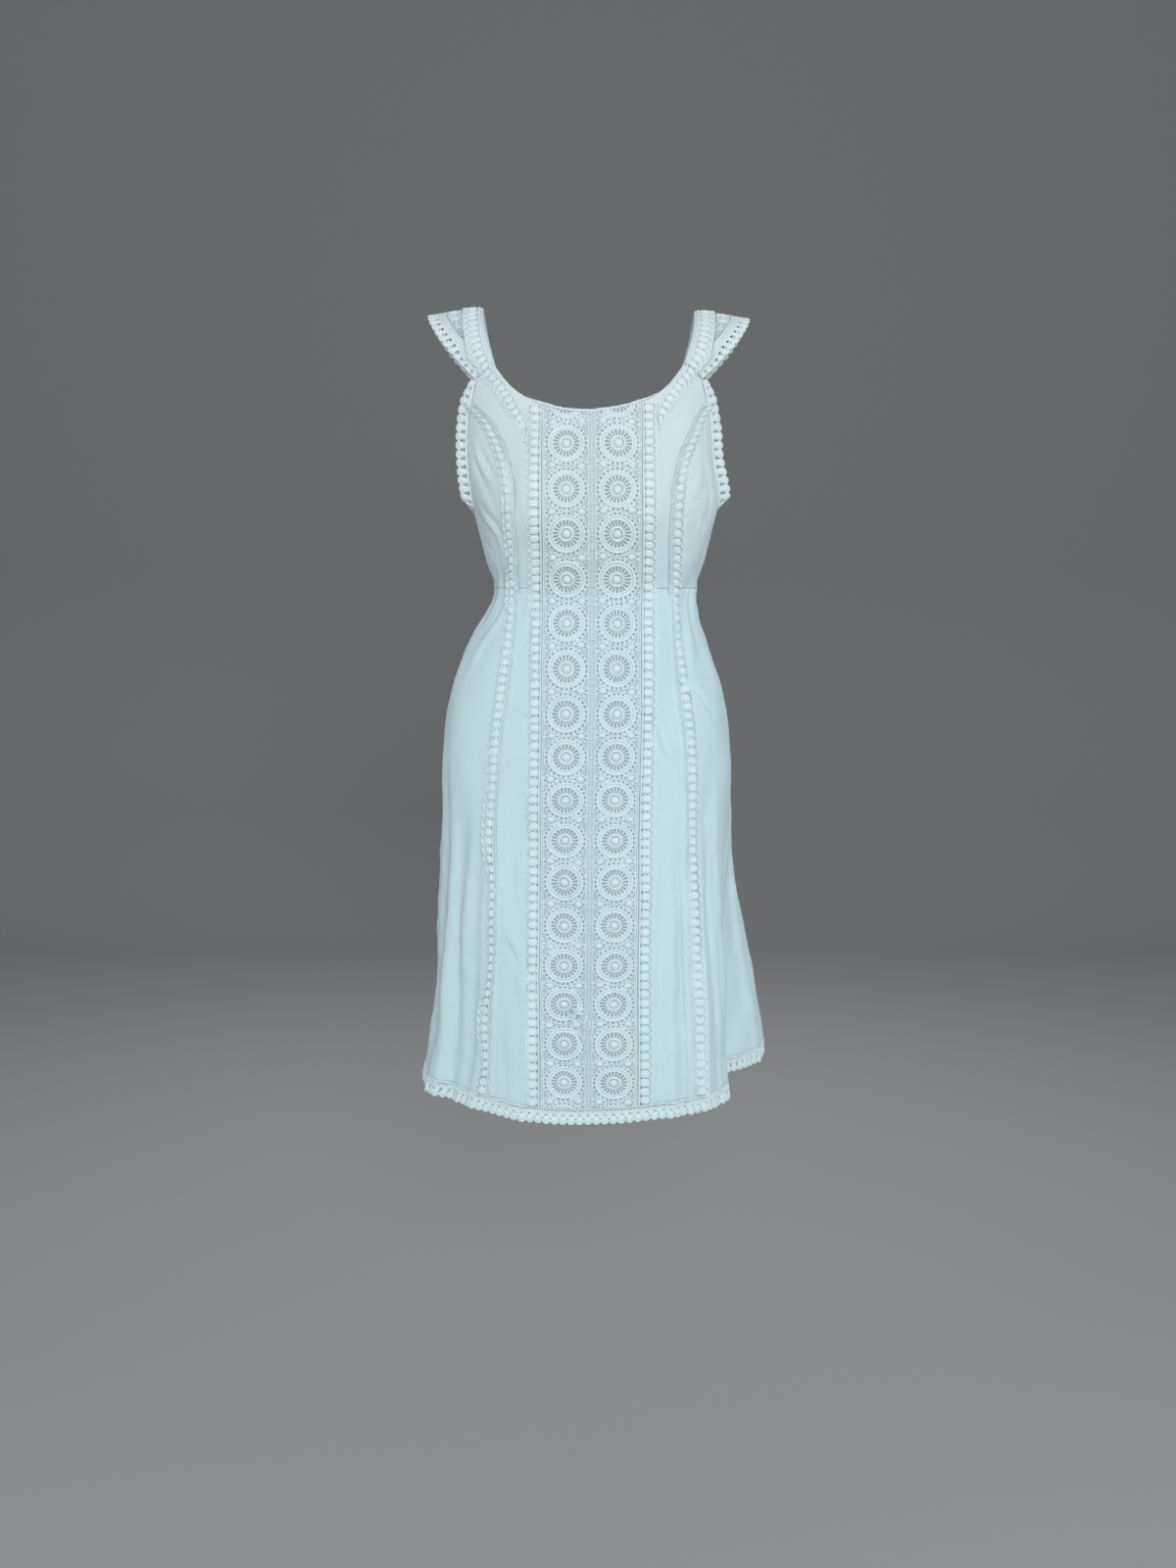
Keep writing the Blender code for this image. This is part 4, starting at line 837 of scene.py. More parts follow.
def loops_between(count, corners, closed):
    """Quads between rings of corners. closed joins the last ring to the first."""
    rings = np.arange(count * corners).reshape(count, corners)
    following = np.roll(rings, -1, axis=1)
    below, above = rings[:-1], rings[1:]
    below_next, above_next = following[:-1], following[1:]
    quads = np.stack([below, below_next, above_next, above], axis=-1).reshape(-1, 4)
    if closed:
        last = np.stack([rings[-1], following[-1], following[0], rings[0]], axis=-1)
        quads = np.concatenate([quads, last])
    return quads


def dome(radii, low, high, corners, rings, square=2.0, full=0.8):
    """A bobble with a flat underside. The smaller full is, the flatter its top."""
    turn = np.arange(corners) / corners * 2 * np.pi
    c, s = np.cos(turn), np.sin(turn)
    outline = (np.abs(c) ** square + np.abs(s) ** square) ** (-1 / square)
    points = []
    for k in range(rings):
        lift = k / rings * np.pi / 2
        out, rise = outline * math.cos(lift) ** full, low + (high - low) * math.sin(lift)
        level = np.full(corners, rise)
        points.append(np.stack([radii[0] * c * out, radii[1] * s * out, level], axis=-1))
    points = np.concatenate(points + [[[0.0, 0.0, high], [0.0, 0.0, low]]])
    top, bottom = rings * corners, rings * corners + 1
    last = np.arange((rings - 1) * corners, rings * corners)
    first = np.arange(corners)
    crown = np.stack([last, np.roll(last, -1), np.full(corners, top)], axis=-1)
    base = np.stack([np.roll(first, -1), first, np.full(corners, bottom)], axis=-1)
    return solid(points, loops_between(rings, corners, False), np.concatenate([crown, base]))


def ring(profile, corners):
    """A closed ring whose section is a list of (radius, height)."""
    turn = np.arange(corners) / corners * 2 * np.pi
    circle = np.stack([np.cos(turn), np.sin(turn)], axis=-1)
    points = [np.insert(circle * radius, 2, height, axis=1) for radius, height in profile]
    return solid(np.concatenate(points), loops_between(len(profile), corners, True))


# A thread's section: shares of its half-width and of its height.
ROUND = np.array([(-1.0, 0.0), (-0.86, 0.62), (-0.38, 1.0), (0.38, 1.0), (0.86, 0.62), (1.0, 0.0)])
SLIM = np.array([(-1.0, 0.0), (-0.55, 1.0), (0.55, 1.0), (1.0, 0.0)])


def thread(path, half, low, high, section=ROUND):
    """A thread along a path of (along, across). half and high are numbers, or one a point."""
    path = np.asarray(path, float)
    count = len(path)
    half, high = np.broadcast_to(half, count), np.broadcast_to(high, count)
    way = unit(np.gradient(path, axis=0))
    sideways = np.stack([-way[:, 1], way[:, 0]], axis=-1)
    rings = []
    for k in range(count):
        flat = path[k] + sideways[k] * section[:, :1] * half[k]
        rise = low + (high[k] - low) * section[:, 1:]
        rings.append(np.concatenate([flat, rise], axis=1))
    corners = len(section)
    fan = np.array([(0, i, i + 1) for i in range(1, corners - 1)])
    triangles = np.concatenate([fan[:, ::-1], fan + (count - 1) * corners])
    return solid(np.concatenate(rings), loops_between(count, corners, False), triangles)


def cord(length, across, half, high, pitch=2.4):
    """A straight cord of chain stitches."""
    count = max(int(length / (pitch / 2)), 3)
    along = np.linspace(0, length, count)
    beat = np.where(np.arange(count) % 2, 1.0, 0.80)
    wobble = 0.10 * waves(along, int(abs(across) * 10) + 3, (23.0, 41.0))
    path = np.stack([along, across + wobble], axis=-1)
    return thread(path, half * beat, 0.1, high * (0.5 + 0.5 * beat))


def rungs(length, pitch, first, last, half, high, low=0.0):
    """Short threads across, evenly spaced."""
    count = int(length / pitch)
    one = thread([(0.0, first), (0.0, last)], half, low, high, SLIM)
    places = (np.arange(count) + 0.5) * length / count
    return join([moved(one, along=at + RNG.uniform(-0.15, 0.15)) for at in places])


def even_steps(length, pitch):
    """How many steps fit into a length, and how long each is."""
    count = int(round(length / pitch))
    return count, length / count


def round_turns(count, start=0.0):
    """Evenly spaced turns round a circle."""
    return [(k + start) / count * 2 * np.pi for k in range(count)]


def arc(half_span, base, reach):
    """A path that bows outwards across the strip."""
    t = np.linspace(0, np.pi, 9)
    return np.stack([-half_span * np.cos(t), base + reach * np.sin(t)], axis=-1)


class Strip:
    """Lays flat thread-work along a band. The band's three lines run along its inner edge, its
    middle and its outer edge, and width is the flat pattern's width in metres."""

    def __init__(self, inner, middle, outer, width):
        self.lines = [np.asarray(line[0], float) for line in (inner, middle, outer)]
        self.normals = [np.asarray(line[1], float) for line in (inner, middle, outer)]
        steps = np.linalg.norm(np.diff(self.lines[1], axis=0), axis=1) * 1000
        self.along = np.concatenate([[0.0], np.cumsum(steps)])
        self.length, self.width = self.along[-1], width * 1000

    def __call__(self, flat):
        at, share, up = flat[:, 0], (flat[:, 1] / self.width)[:, None], flat[:, 2:3] / 1000
        weights = ((1 - share) * (1 - 2 * share), 4 * share * (1 - share), share * (2 * share - 1))

        def take(lines):
            return sum(
                w * np.stack([np.interp(at, self.along, line[:, k]) for k in range(3)], axis=-1)
                for w, line in zip(weights, lines)
            )

        return take(self.lines) + unit(take(self.normals)) * up


def lay(name, part, mapping, material):
    """The thread-work as an object on the garment."""
    flat, quads, triangles = part
    faces = [f for f in (quads, triangles) if len(f)]
    return make_object(name, mapping(flat), faces, flat[:, :2] / 1000, material)


# Patterns


def wheel():
    """One wheel of the lace: a button, a ring, spokes and a ridged band with bars round it."""
    button = dome((4.6, 4.6), 0.1, 3.2, 16, 3)
    inner = [(5.5, 0.0), (5.8, 1.6), (6.6, 2.4), (7.7, 2.1), (8.5, 1.0), (8.7, 0.0)]
    spoke = thread(
        [(8.3, 0.0), (11.0, 0.0), (15.0, 0.0)], (0.72, 0.82, 1.15), 0.1, (1.7, 1.4, 1.8)
    )
    band = [(14.4, 0.0), (14.7, 1.8), (15.4, 2.4), (16.3, 2.1), (17.3, 0.2), (18.3, 2.2)]
    band += [(19.2, 2.6), (20.1, 2.3), (20.8, 0.0)]
    bar = thread([(20.2, 0.0), (23.6, 0.0)], (1.30, 1.55), 0.05, 1.4, SLIM)
    rim = [(22.7, 0.0), (23.0, 1.4), (23.9, 1.4), (24.3, 0.0)]
    parts = [button, ring(inner, 26), ring(band, 48), ring(rim, 36)]
    parts += [moved(spoke, turn=turn) for turn in round_turns(20)]
    parts += [moved(bar, turn=turn) for turn in round_turns(26, 0.5)]
    return join(parts)


def wheel_painted_shade():
    """Painted shade: dark rings under the openings between a wheel's spokes and between the bars
    round it.
    """
    inner = ring([(9.3, 0.0), (9.3, 0.45), (14.3, 0.45), (14.3, 0.0)], 24)
    outer = ring([(20.9, 0.0), (20.9, 0.40), (22.6, 0.40), (22.6, 0.0)], 32)
    return join([inner, outer])


def corner_painted_shade():
    """Painted shade: dark dots round a bobble between the wheels."""
    dot = dome((1.25, 1.05), 0.0, 0.45, 8, 1)
    near = [moved(dot, 5.1 * math.cos(t), 4.5 * math.sin(t)) for t in round_turns(8, 0.85)]
    far = [moved(dot, x * 9.6, y * 6.6) for x in (-1, 1) for y in (-1, 1)]
    return join(near + far)


def corner():
    """A bobble between wheels, with the ring and the bars that hold it."""
    loop = ring([(5.5, 0.0), (5.8, 1.3), (6.7, 1.3), (7.0, 0.0)], 24)
    parts = [dome((4.1, 3.8), 0.0, 3.9, 14, 3), moved(loop, scale=(1.22, 0.84, 1.0))]
    for turn in round_turns(8, 0.35):
        out = np.array([math.cos(turn), math.sin(turn)])
        reach = 6.2 + 3.4 * abs(out[0])
        parts.append(thread([out * 3.2, out * reach], (0.95, 1.35), 0.0, (1.7, 1.5), SLIM))
    return join(parts)


def lace_pattern():
    """The front panel's lace, flat: across in millimetres, down in rows. The second result is
    painted shade: dark pieces where its threads leave openings."""
    pitch = LACE_PITCH
    whole, between, whole_painted_shade, between_painted_shade = wheel(), corner(), wheel_painted_shade(), corner_painted_shade()
    parts, gaps = [], []
    for row in range(len(LACE_ROWS)):
        for column in WHEEL_COLUMNS:
            size = RNG.uniform(0.985, 1.01)
            across, down = column + RNG.uniform(-0.5, 0.5), row * pitch + RNG.uniform(-0.5, 0.5)
            scale = (size, size, RNG.uniform(0.9, 1.08))
            parts.append(moved(whole, across, down, RNG.uniform(0, 2 * np.pi), scale))
            gaps.append(moved(whole_painted_shade, across, down))
    for row in range(len(LACE_ROWS) - 1):
        for column in CORNER_COLUMNS:
            across = column + RNG.uniform(-0.6, 0.6)
            down = (row + 0.5) * pitch + RNG.uniform(-1.2, 1.2)
            scale = (1.0, 1.0, RNG.uniform(0.8, 1.05))
            parts.append(moved(between, across, down, RNG.uniform(-0.3, 0.3), scale))
            gaps.append(moved(between_painted_shade, across, down))
    length = (len(LACE_ROWS) - 1) * pitch
    strips = [cord(length, across, 0.9, 2.2) for across in (-3.9, 3.9)]
    strips += [cord(length, across, 0.9, 1.8) for across in (-52.9, 52.9)]
    strips.append(rungs(length, 2.6, -3.8, 3.8, 0.85, 1.1))
    strips.append(cord(length, 0.0, 0.7, 1.4, 2.2))
    for side in (-1, 1):
        strips.append(rungs(length, 3.1, side * 49.6, side * 53.2, 0.95, 1.2))
        strips.append(cord(length, side * 50.6, 0.6, 1.4))
    strips = [(p[:, [1, 0, 2]], q, t) for p, q, t in strips]
    return join([*parts, *strips]), join(gaps)


def cut(part, level, keep_below):
    """The part with what lies beyond a line cut off and closed. level gives the line's place
    across at each point."""
    points, quads, triangles = part
    sheared = points.copy()
    sheared[:, 1] -= level(points)
    mesh = bpy.data.meshes.new("cutting")
    mesh.from_pydata(sheared.tolist(), [], quads.tolist() + triangles.tolist())
    bm = bmesh.new()
    bm.from_mesh(mesh)
    bpy.data.meshes.remove(mesh)
    bmesh.ops.bisect_plane(
        bm,
        geom=bm.verts[:] + bm.edges[:] + bm.faces[:],
        dist=1e-5,
        plane_co=(0, 0, 0),
        plane_no=(0, 1 if keep_below else -1, 0),
        clear_outer=True,
    )
    bmesh.ops.holes_fill(bm, edges=[e for e in bm.edges if e.is_boundary], sides=0)
    bmesh.ops.triangulate(bm, faces=[f for f in bm.faces if len(f.verts) > 4])
    bm.verts.index_update()
    points = np.array([v.co[:] for v in bm.verts])
    points[:, 1] += level(points)
    indices = [[v.index for v in f.verts] for f in bm.faces]
    bm.free()
    quads = np.array([f for f in indices if len(f) == 4], int).reshape(-1, 4)
    triangles = np.array([f for f in indices if len(f) == 3], int).reshape(-1, 3)
    return points, quads, triangles


def puff(gap, half):
    """Three gathered loops, one unit high, that fill a gap along."""
    parts = [dome((gap * 0.45, half), 0.0, 0.86, 16, 3, 2.4, 0.55)]
    for spot, share in ((-0.25, 0.90), (0.0, 1.0), (0.25, 0.90)):
        radii = (gap * 0.135, half * share * 0.96)
        parts.append(moved(dome(radii, 0.0, 0.94 + 0.06 * share, 10, 2, 2.0, 0.6), spot * gap))
    return join(parts)


def puff_row(length, pitch, across, half, high, rim):
    """A row of puffs. A chain runs under them, and each has a crescent round its outer side. rim
    is how far out the crescents start, how far they reach and their height."""
    count, gap = even_steps(length, pitch)
    shape = puff(gap, half)
    base, reach, tall = rim
    crescent = thread(arc(gap * 0.5, base, reach), 0.9, 0.0, tall)
    parts = [cord(length, across - half * 0.15, 0.55, high * 0.5)]
    for k in range(count):
        low = RNG.random() < SUNKEN_PUFFS
        scale = RNG.uniform(0.94, 1.04, 2)
        rise = high * (RNG.uniform(0.5, 0.7) if low else RNG.uniform(0.88, 1.10))
        middle = (k + 0.5) * gap
        at, out = middle + RNG.uniform(-0.25, 0.25), across + RNG.uniform(-0.2, 0.2)
        parts.append(moved(shape, at, out, RNG.uniform(-0.10, 0.10), (*scale, rise)))
        parts.append(moved(crescent, middle, scale=(1.0, 1.0, RNG.uniform(0.92, 1.06))))
    return join(parts)


def painted_shade_marks(length, pitch, spots):
    """Painted shade: dark marks for the holes between the puffs and shells, and painted shadow in
    the notches beside them. spots lists how far across each is, its half-length along and its
    half-width across."""
    count, gap = even_steps(length, pitch)
    parts = []
    for across, half_along, half_across in spots:
        dot = dome((half_along, half_across), 0.0, 0.5, 8, 1)
        for k in range(count + 1):
            scale = RNG.uniform(0.75, 1.15, 2)
            at = min(max(k * gap + RNG.uniform(-0.2, 0.2), half_along), length - half_along)
            out = across + RNG.uniform(-0.25, 0.25)
            parts.append(moved(dot, at, out, 0.0, (*scale, 1.0)))
    return join(parts)


def lace_trim_pattern(length):
    pitch = 9.9
    chain = cord(length, 1.5, 1.2, 2.3)
    puffs = puff_row(length, pitch, 8.6, 5.9, 2.7, (12.8, 3.1, 2.9))
    # painted shade in the holes between the puffs, and painted shadow in the notches outside the
    # crescents
    spots = [(3.6, 1.3, 1.0), (8.6, 0.7, 1.6), (13.6, 1.3, 0.8)]
    return join([chain, puffs]), painted_shade_marks(length, pitch, spots)


def princess_trim_pattern(length):
    pitch = 10.0
    threads = [
        rungs(length, 2.3, 0.9, 6.0, 0.62, 1.5),
        cord(length, 0.9, 0.7, 1.4),
        cord(length, 3.4, 0.5, 1.3),
        cord(length, 6.2, 0.9, 2.1),
        puff_row(length, pitch, 12.8, 6.1, 2.8, (17.0, 3.3, 2.9)),
    ]
    # painted shade in the holes between the puffs, and painted shadow in the notches outside the
    # crescents
    spots = [(7.8, 1.3, 1.0), (12.8, 0.7, 1.6), (18.0, 1.3, 0.8)]
    return join(threads), painted_shade_marks(length, pitch, spots)


def neck_trim_pattern(length):
    pitch = 8.8
    chain = cord(length, 1.6, 1.2, 1.2)
    puffs = puff_row(length, pitch, 8.4, 5.4, 1.7, (12.2, 4.3, 1.7))
    spots = [(5.2, 0.75, 1.3), (10.4, 0.75, 1.3)]
    return join([chain, puffs]), painted_shade_marks(length, pitch, spots)


def shell_row(length, pitch, base, reach, high):
    """A scalloped edge of round shells. Small holes are left between their feet."""
    count, gap = even_steps(length, pitch)
    middle, half = base + reach * 0.46, reach * 0.50
    shape = dome((gap * 0.475, half), 0.0, 1.0, 16, 3, 2.2, 0.5)
    edge = thread(arc(gap * 0.50, base + reach * 0.40, reach * 0.56), 0.75, 0.0, high * 0.85)
    parts = []
    for k in range(count):
        at = (k + 0.5) * gap + RNG.uniform(-0.2, 0.2)
        rise = high * RNG.uniform(0.85, 1.1)
        size = RNG.uniform(0.94, 1.04)
        parts.append(moved(shape, at, middle, RNG.uniform(-0.08, 0.08), (size, size, rise)))
        parts.append(moved(edge, (k + 0.5) * gap))
    return join(parts)


def cap_edging_pattern(length):
    pitch = 9.0
    bands = [cord(length, t, 1.55, h, 2.8) for t, h in ((1.6, 1.9), (4.5, 1.3), (7.2, 1.6))]
    threads = [
        *bands,
        cord(length, 9.4, 1.1, 1.2, 2.8),
        rungs(length, pitch, 9.9, 15.4, 2.6, 1.5),
        cord(length, 13.1, 0.6, 1.4),
        shell_row(length, pitch, 12.4, 8.8, 2.1),
    ]
    return join(threads), painted_shade_marks(length, pitch, [(11.2, 1.3, 1.2), (15.0, 1.2, 1.2)])


def armhole_trim_pattern(length):
    pitch = 9.8
    threads = [
        cord(length, 1.0, 1.15, 2.2),
        cord(length, 3.2, 1.15, 1.7),
        rungs(length, pitch, 3.8, 8.6, 2.9, 1.7),
        cord(length, 6.3, 0.42, 1.2),
        shell_row(length, pitch, 6.2, 9.6, 2.5),
    ]
    return join(threads), painted_shade_marks(length, pitch, [(4.9, 1.5, 1.1), (8.2, 1.1, 1.0)])


def hem_trim_pattern(length):
    pitch = 9.3
    threads = [
        cord(length, 1.0, 1.1, 2.1),
        rungs(length, 2.7, 1.5, 4.8, 0.85, 1.4, low=0.2),
        cord(length, 4.9, 1.0, 1.8),
        cord(length, 6.8, 1.1, 1.5),
        rungs(length, pitch, 7.0, 11.6, 3.3, 1.7),
        cord(length, 9.0, 0.5, 1.5),
        shell_row(length, pitch, 9.4, 9.0, 2.0),
    ]
    return join(threads), painted_shade_marks(length, pitch, [(8.0, 0.7, 0.6), (11.3, 1.05, 1.3)])


def small_wheel():
    """One wheel of the lace in the shoulder caps."""
    parts = [
        dome((2.0, 2.0), 0.3, 2.2, 12, 2),
        ring([(2.7, 0.3), (2.9, 1.6), (3.5, 1.6), (3.7, 0.3)], 16),
        ring([(5.1, 0.3), (5.3, 1.7), (6.0, 1.2), (6.7, 1.7), (7.1, 0.3)], 28),
    ]
    spoke = thread([(3.5, 0.0), (5.4, 0.0)], 0.45, 0.3, 1.4, SLIM)
    return join(parts + [moved(spoke, turn=turn) for turn in round_turns(12)])


def cap_lace_pattern(length):
    count, gap = even_steps(length, 15.2)
    middle = 8.5
    wheel_shape = small_wheel()
    # painted shade: a dark ring round each small wheel, and dark marks beside them
    painted_shade_ring = ring([(3.8, 0.3), (3.8, 0.85), (5.0, 0.85), (5.0, 0.3)], 18)
    places = [(k + 0.5) * gap for k in range(count)]
    threads = [moved(wheel_shape, at, middle) for at in places]
    threads += [cord(length, across, 0.8, 1.6) for across in (0.9, 16.1)]
    threads.append(rungs(length, 2.5, 0.8, 16.2, 0.75, 0.7))
    threads += [cord(length, across, 0.5, 0.9) for across in (3.4, 13.6)]
    spots = [(2.2, 0.9, 0.8), (5.2, 0.9, 0.9), (11.8, 0.9, 0.9), (14.8, 0.9, 0.8)]
    marks = moved(painted_shade_marks(length, gap, spots), scale=(1.0, 1.0, 1.9))
    return join(threads), join([*(moved(painted_shade_ring, at, middle) for at in places), marks])


def binding_pattern(length):
    """A rolled edge held by fine stitches."""
    along = np.linspace(0, length, 150)
    across = 2.3 + 0.5 * waves(along, 31, (7.3, 11.9, 19.0))
    half = 1.9 + 0.35 * waves(along, 32, (5.1, 8.7, 14.0))
    roll = thread(np.stack([along, across], axis=-1), half, -0.1, 1.9)
    return join([roll, rungs(length, 4.3, 0.4, 4.2, 0.30, 2.2)])


def coil_pattern(length):
    """The zip's coil."""
    one = thread([(0.0, -0.72), (0.35, 0.0), (0.0, 0.72)], 0.34, 0.0, 0.9, SLIM)
    count = int(length / 1.35)
    return join([moved(one, (k + 0.5) * length / count) for k in range(count)])


# Places of the strap and the trims


def strap_place(side, step, across):
    """Points of a strap's underside. step runs from its front seam to its back seam, and across
    is the distance from its inner edge."""
    step, across = np.broadcast_arrays(np.asarray(step, float), np.asarray(across, float))
    row = row_at(STRAP, step)
    share = across / (row["outer"] - row["inner"])
    sag = share * (0.55 + 0.45 * share)
    drop = STRAP_DROP[side] * np.sin(math.pi * step / STRAP["step"][-1])
    behind = step > STRAP_TOP_STEP
    end = {c: np.where(behind, STRAP[c][-1], STRAP[c][0]) for c in STRAP}
    seam_x = side * (end["inner"] + share * (end["outer"] - end["inner"])) + NECK_SHIFT
    seam_z = end["z"] - end["fall"] * sag
    angles = np.where(behind, angle_at(seam_x, seam_z, True), angle_at(seam_x, seam_z))
    seam_y = place(angles, seam_z)[..., 1]
    near = np.maximum(1 - np.abs(step - end["step"]) / 3, 0.0) ** 2
    meet = (seam_y - end["y"] - end["lean"] * share) * near
    return np.stack(
        [
            side * (row["inner"] + across) + NECK_SHIFT,
            row["y"] + row["lean"] * share + meet,
            row["z"] - row["fall"] * sag - drop,
        ],
        axis=-1,
    )


def strap_skin(side, step, across):
    """Points of a strap's underside, and their outward normals."""
    small, thin = 0.05, 0.0005
    along = strap_place(side, step + small, across) - strap_place(side, step - small, across)
    over = strap_place(side, step, across + thin) - strap_place(side, step, across - thin)
    return strap_place(side, step, across), unit(np.cross(over, along)) * side


def strap_steps(count):
    """Steps over a strap, from just inside one seam to just inside the other."""
    return np.linspace(0.015, STRAP["step"][-1] - 0.015, count)


def strap_reach(step):
    return lookup(STRAP, step, "outer") - lookup(STRAP, step, "inner")


def band_end(step):
    """How far across the strap's cloth reaches, under the neck trim."""
    return np.minimum(NECK_TRIM_WIDTH, strap_reach(step) * STRAP_BAND_SHARE)


def edging_start(step):
    """Where the cap's scalloped edging starts."""
    return np.maximum(band_end(step) + SEAM_GAP, strap_reach(step) - CAP_EDGING_WIDTH)


def strap_strip(side, steps, start, end, width):
    """A strip over the strap, between two distances from its inner edge."""
    lines = [strap_skin(side, steps, start + (end - start) * share) for share in ACROSS]
    return strip_over(lines, 0.0, width)


def raised(line, lift):
    points, normals = line
    return points + normals * lift, normals


def strip_over(lines, lift, width):
    return Strip(*(raised(line, lift) for line in lines), width)


def neck_in_front(side):
    """Lines of the neck trim in front, by their share of the way to its outer edge. The trim keeps
    one width, and plain cloth shows between it and the neck edge."""
    shares = np.linspace(-0.40, 1, 90)[:-1]
    edge = row_at(NECK_TRIM_EDGE, shares)
    outer = np.stack([edge["x"], edge["z"]], axis=-1)
    slope = outer[np.argmax(shares >= 0.06)] - outer[np.argmax(shares >= 0.0)]
    outer = outer + slope / 0.06 * np.minimum(shares, 0.0)[:, None]
    way = unit(np.gradient(outer, axis=0))
    for _ in range(12):
        way[1:-1] = unit(way[2:] + way[:-2] + way[1:-1])
    towards_neck = np.stack([-way[:, 1], way[:, 0]], axis=-1)
    inward = 0.003 * smooth_step(shares / 0.25)[:, None]

    def line(down):
        x, z = (outer + towards_neck * (NECK_BAND * (1 - down) + inward)).T
        return SURFACE.at(angle_at(side * x + NECK_SHIFT, z), z)

    return line


def neck_over_strap(side):
    steps = strap_steps(170)
    end = band_end(steps)
    width = np.minimum(STRAP_BAND, end * 0.9)
    return lambda down: strap_skin(side, steps, end - width * (1 - down))


def neck_behind(side):
    shares = np.linspace(0, 1, 60)[:-1]
    x = 0.006 + (STRAP_INNER[0] - 0.006) * shares
    edge = np.stack([x, lookup(NECK_BACK, x, "z")], axis=-1)
    rise = lookup(NECK_BACK, x + 0.001, "z") - lookup(NECK_BACK, x - 0.001, "z")
    away = unit(np.stack([rise, np.full_like(rise, -0.002)], axis=-1))
    seam = unit(np.subtract(STRAP_OUTER, STRAP_INNER))
    turn = (shares**3)[:, None]

    def line(down):
        reach = NECK_TRIM_WIDTH - STRAP_BAND * (1 - down)
        x, z = (edge + (away * (1 - turn) + seam * turn) * reach).T
        return SURFACE.at(angle_at(side * x + NECK_SHIFT, z, True), z)

    return line


def neck_lines(side):
    """The neck trim's three lines, from beside the lace over the strap to centre back."""
    front, over, behind = neck_in_front(side), neck_over_strap(side), neck_behind(side)
    lines = []
    for down in ACROSS:
        first, middle, last = front(down), over(down), behind(down)
        lines.append(
            tuple(np.concatenate([first[k], middle[k], last[k][::-1]]) for k in (0, 1))
        )
    return lines


def armhole_rim(side):
    """Points evenly spaced round the armhole, from the front of the strap, and their normals."""
    turn_z = -0.21  # the edge turns under the arm below this, and is sampled more closely
    close = np.linspace(turn_z, UNDERARM_Z, 60)[1:]
    z = np.concatenate([np.linspace(STRAP_OUTER[1], turn_z, 130), close])
    angles = [armhole_line(side, False)(z), armhole_line(side, True)(z)[-2::-1]]
    spots, normals = SURFACE.at(np.concatenate(angles), np.concatenate([z, z[-2::-1]]))
    steps = np.concatenate([[0], np.cumsum(np.linalg.norm(np.diff(spots, axis=0), axis=1))])
    even = np.linspace(0, steps[-1], 340)
    spots, normals = (
        np.stack([np.interp(even, steps, field[:, k]) for k in range(3)], axis=-1)
        for field in (spots, normals)
    )
    return spots, unit(normals)


def armhole_lines(side):
    """The armhole trim's three lines. It stands out from the edge of the cloth."""
    spots, normals = armhole_rim(side)
    z = spots[:, 2]
    along = unit(np.gradient(spots, axis=0))
    for _ in range(6):  # soften the turn under the arm
        along = unit((np.roll(along, 1, 0) + along + np.roll(along, -1, 0))[1:-1])
        along = np.concatenate([along[:1], along, along[-1:]])
    opening = unit(np.cross(normals, along)) * side
    stand = row_at(ARMHOLE_STAND, z)
    out = side * stand["out"] * ARMHOLE_STAND_SHARE[side]
    turned = 1 - 2 * smooth_step((np.linspace(0, 1, len(z)) - 0.46) / 0.08)  # -1 behind the arm
    away = unit(np.stack([out, stand["back"] * turned, stand["up"]], axis=-1))
    narrow = np.interp(z, (SEAM_TOP_Z, -0.100, STRAP_OUTER[1]), (1.0, 0.75, 0.45))
    start = spots + opening * (TRIM / 2 + 3 * SEAM_GAP)
    face = unit(np.cross(along, away)) * side
    lines = []
    for share, curl in zip(ACROSS, (0.0, 0.0006, -0.0008)):
        points = start + away * (ARMHOLE_TRIM_WIDTH * narrow * share)[:, None] + face * curl
        lines.append((points - face * TRIM / 2, face))
    return lines


# Materials


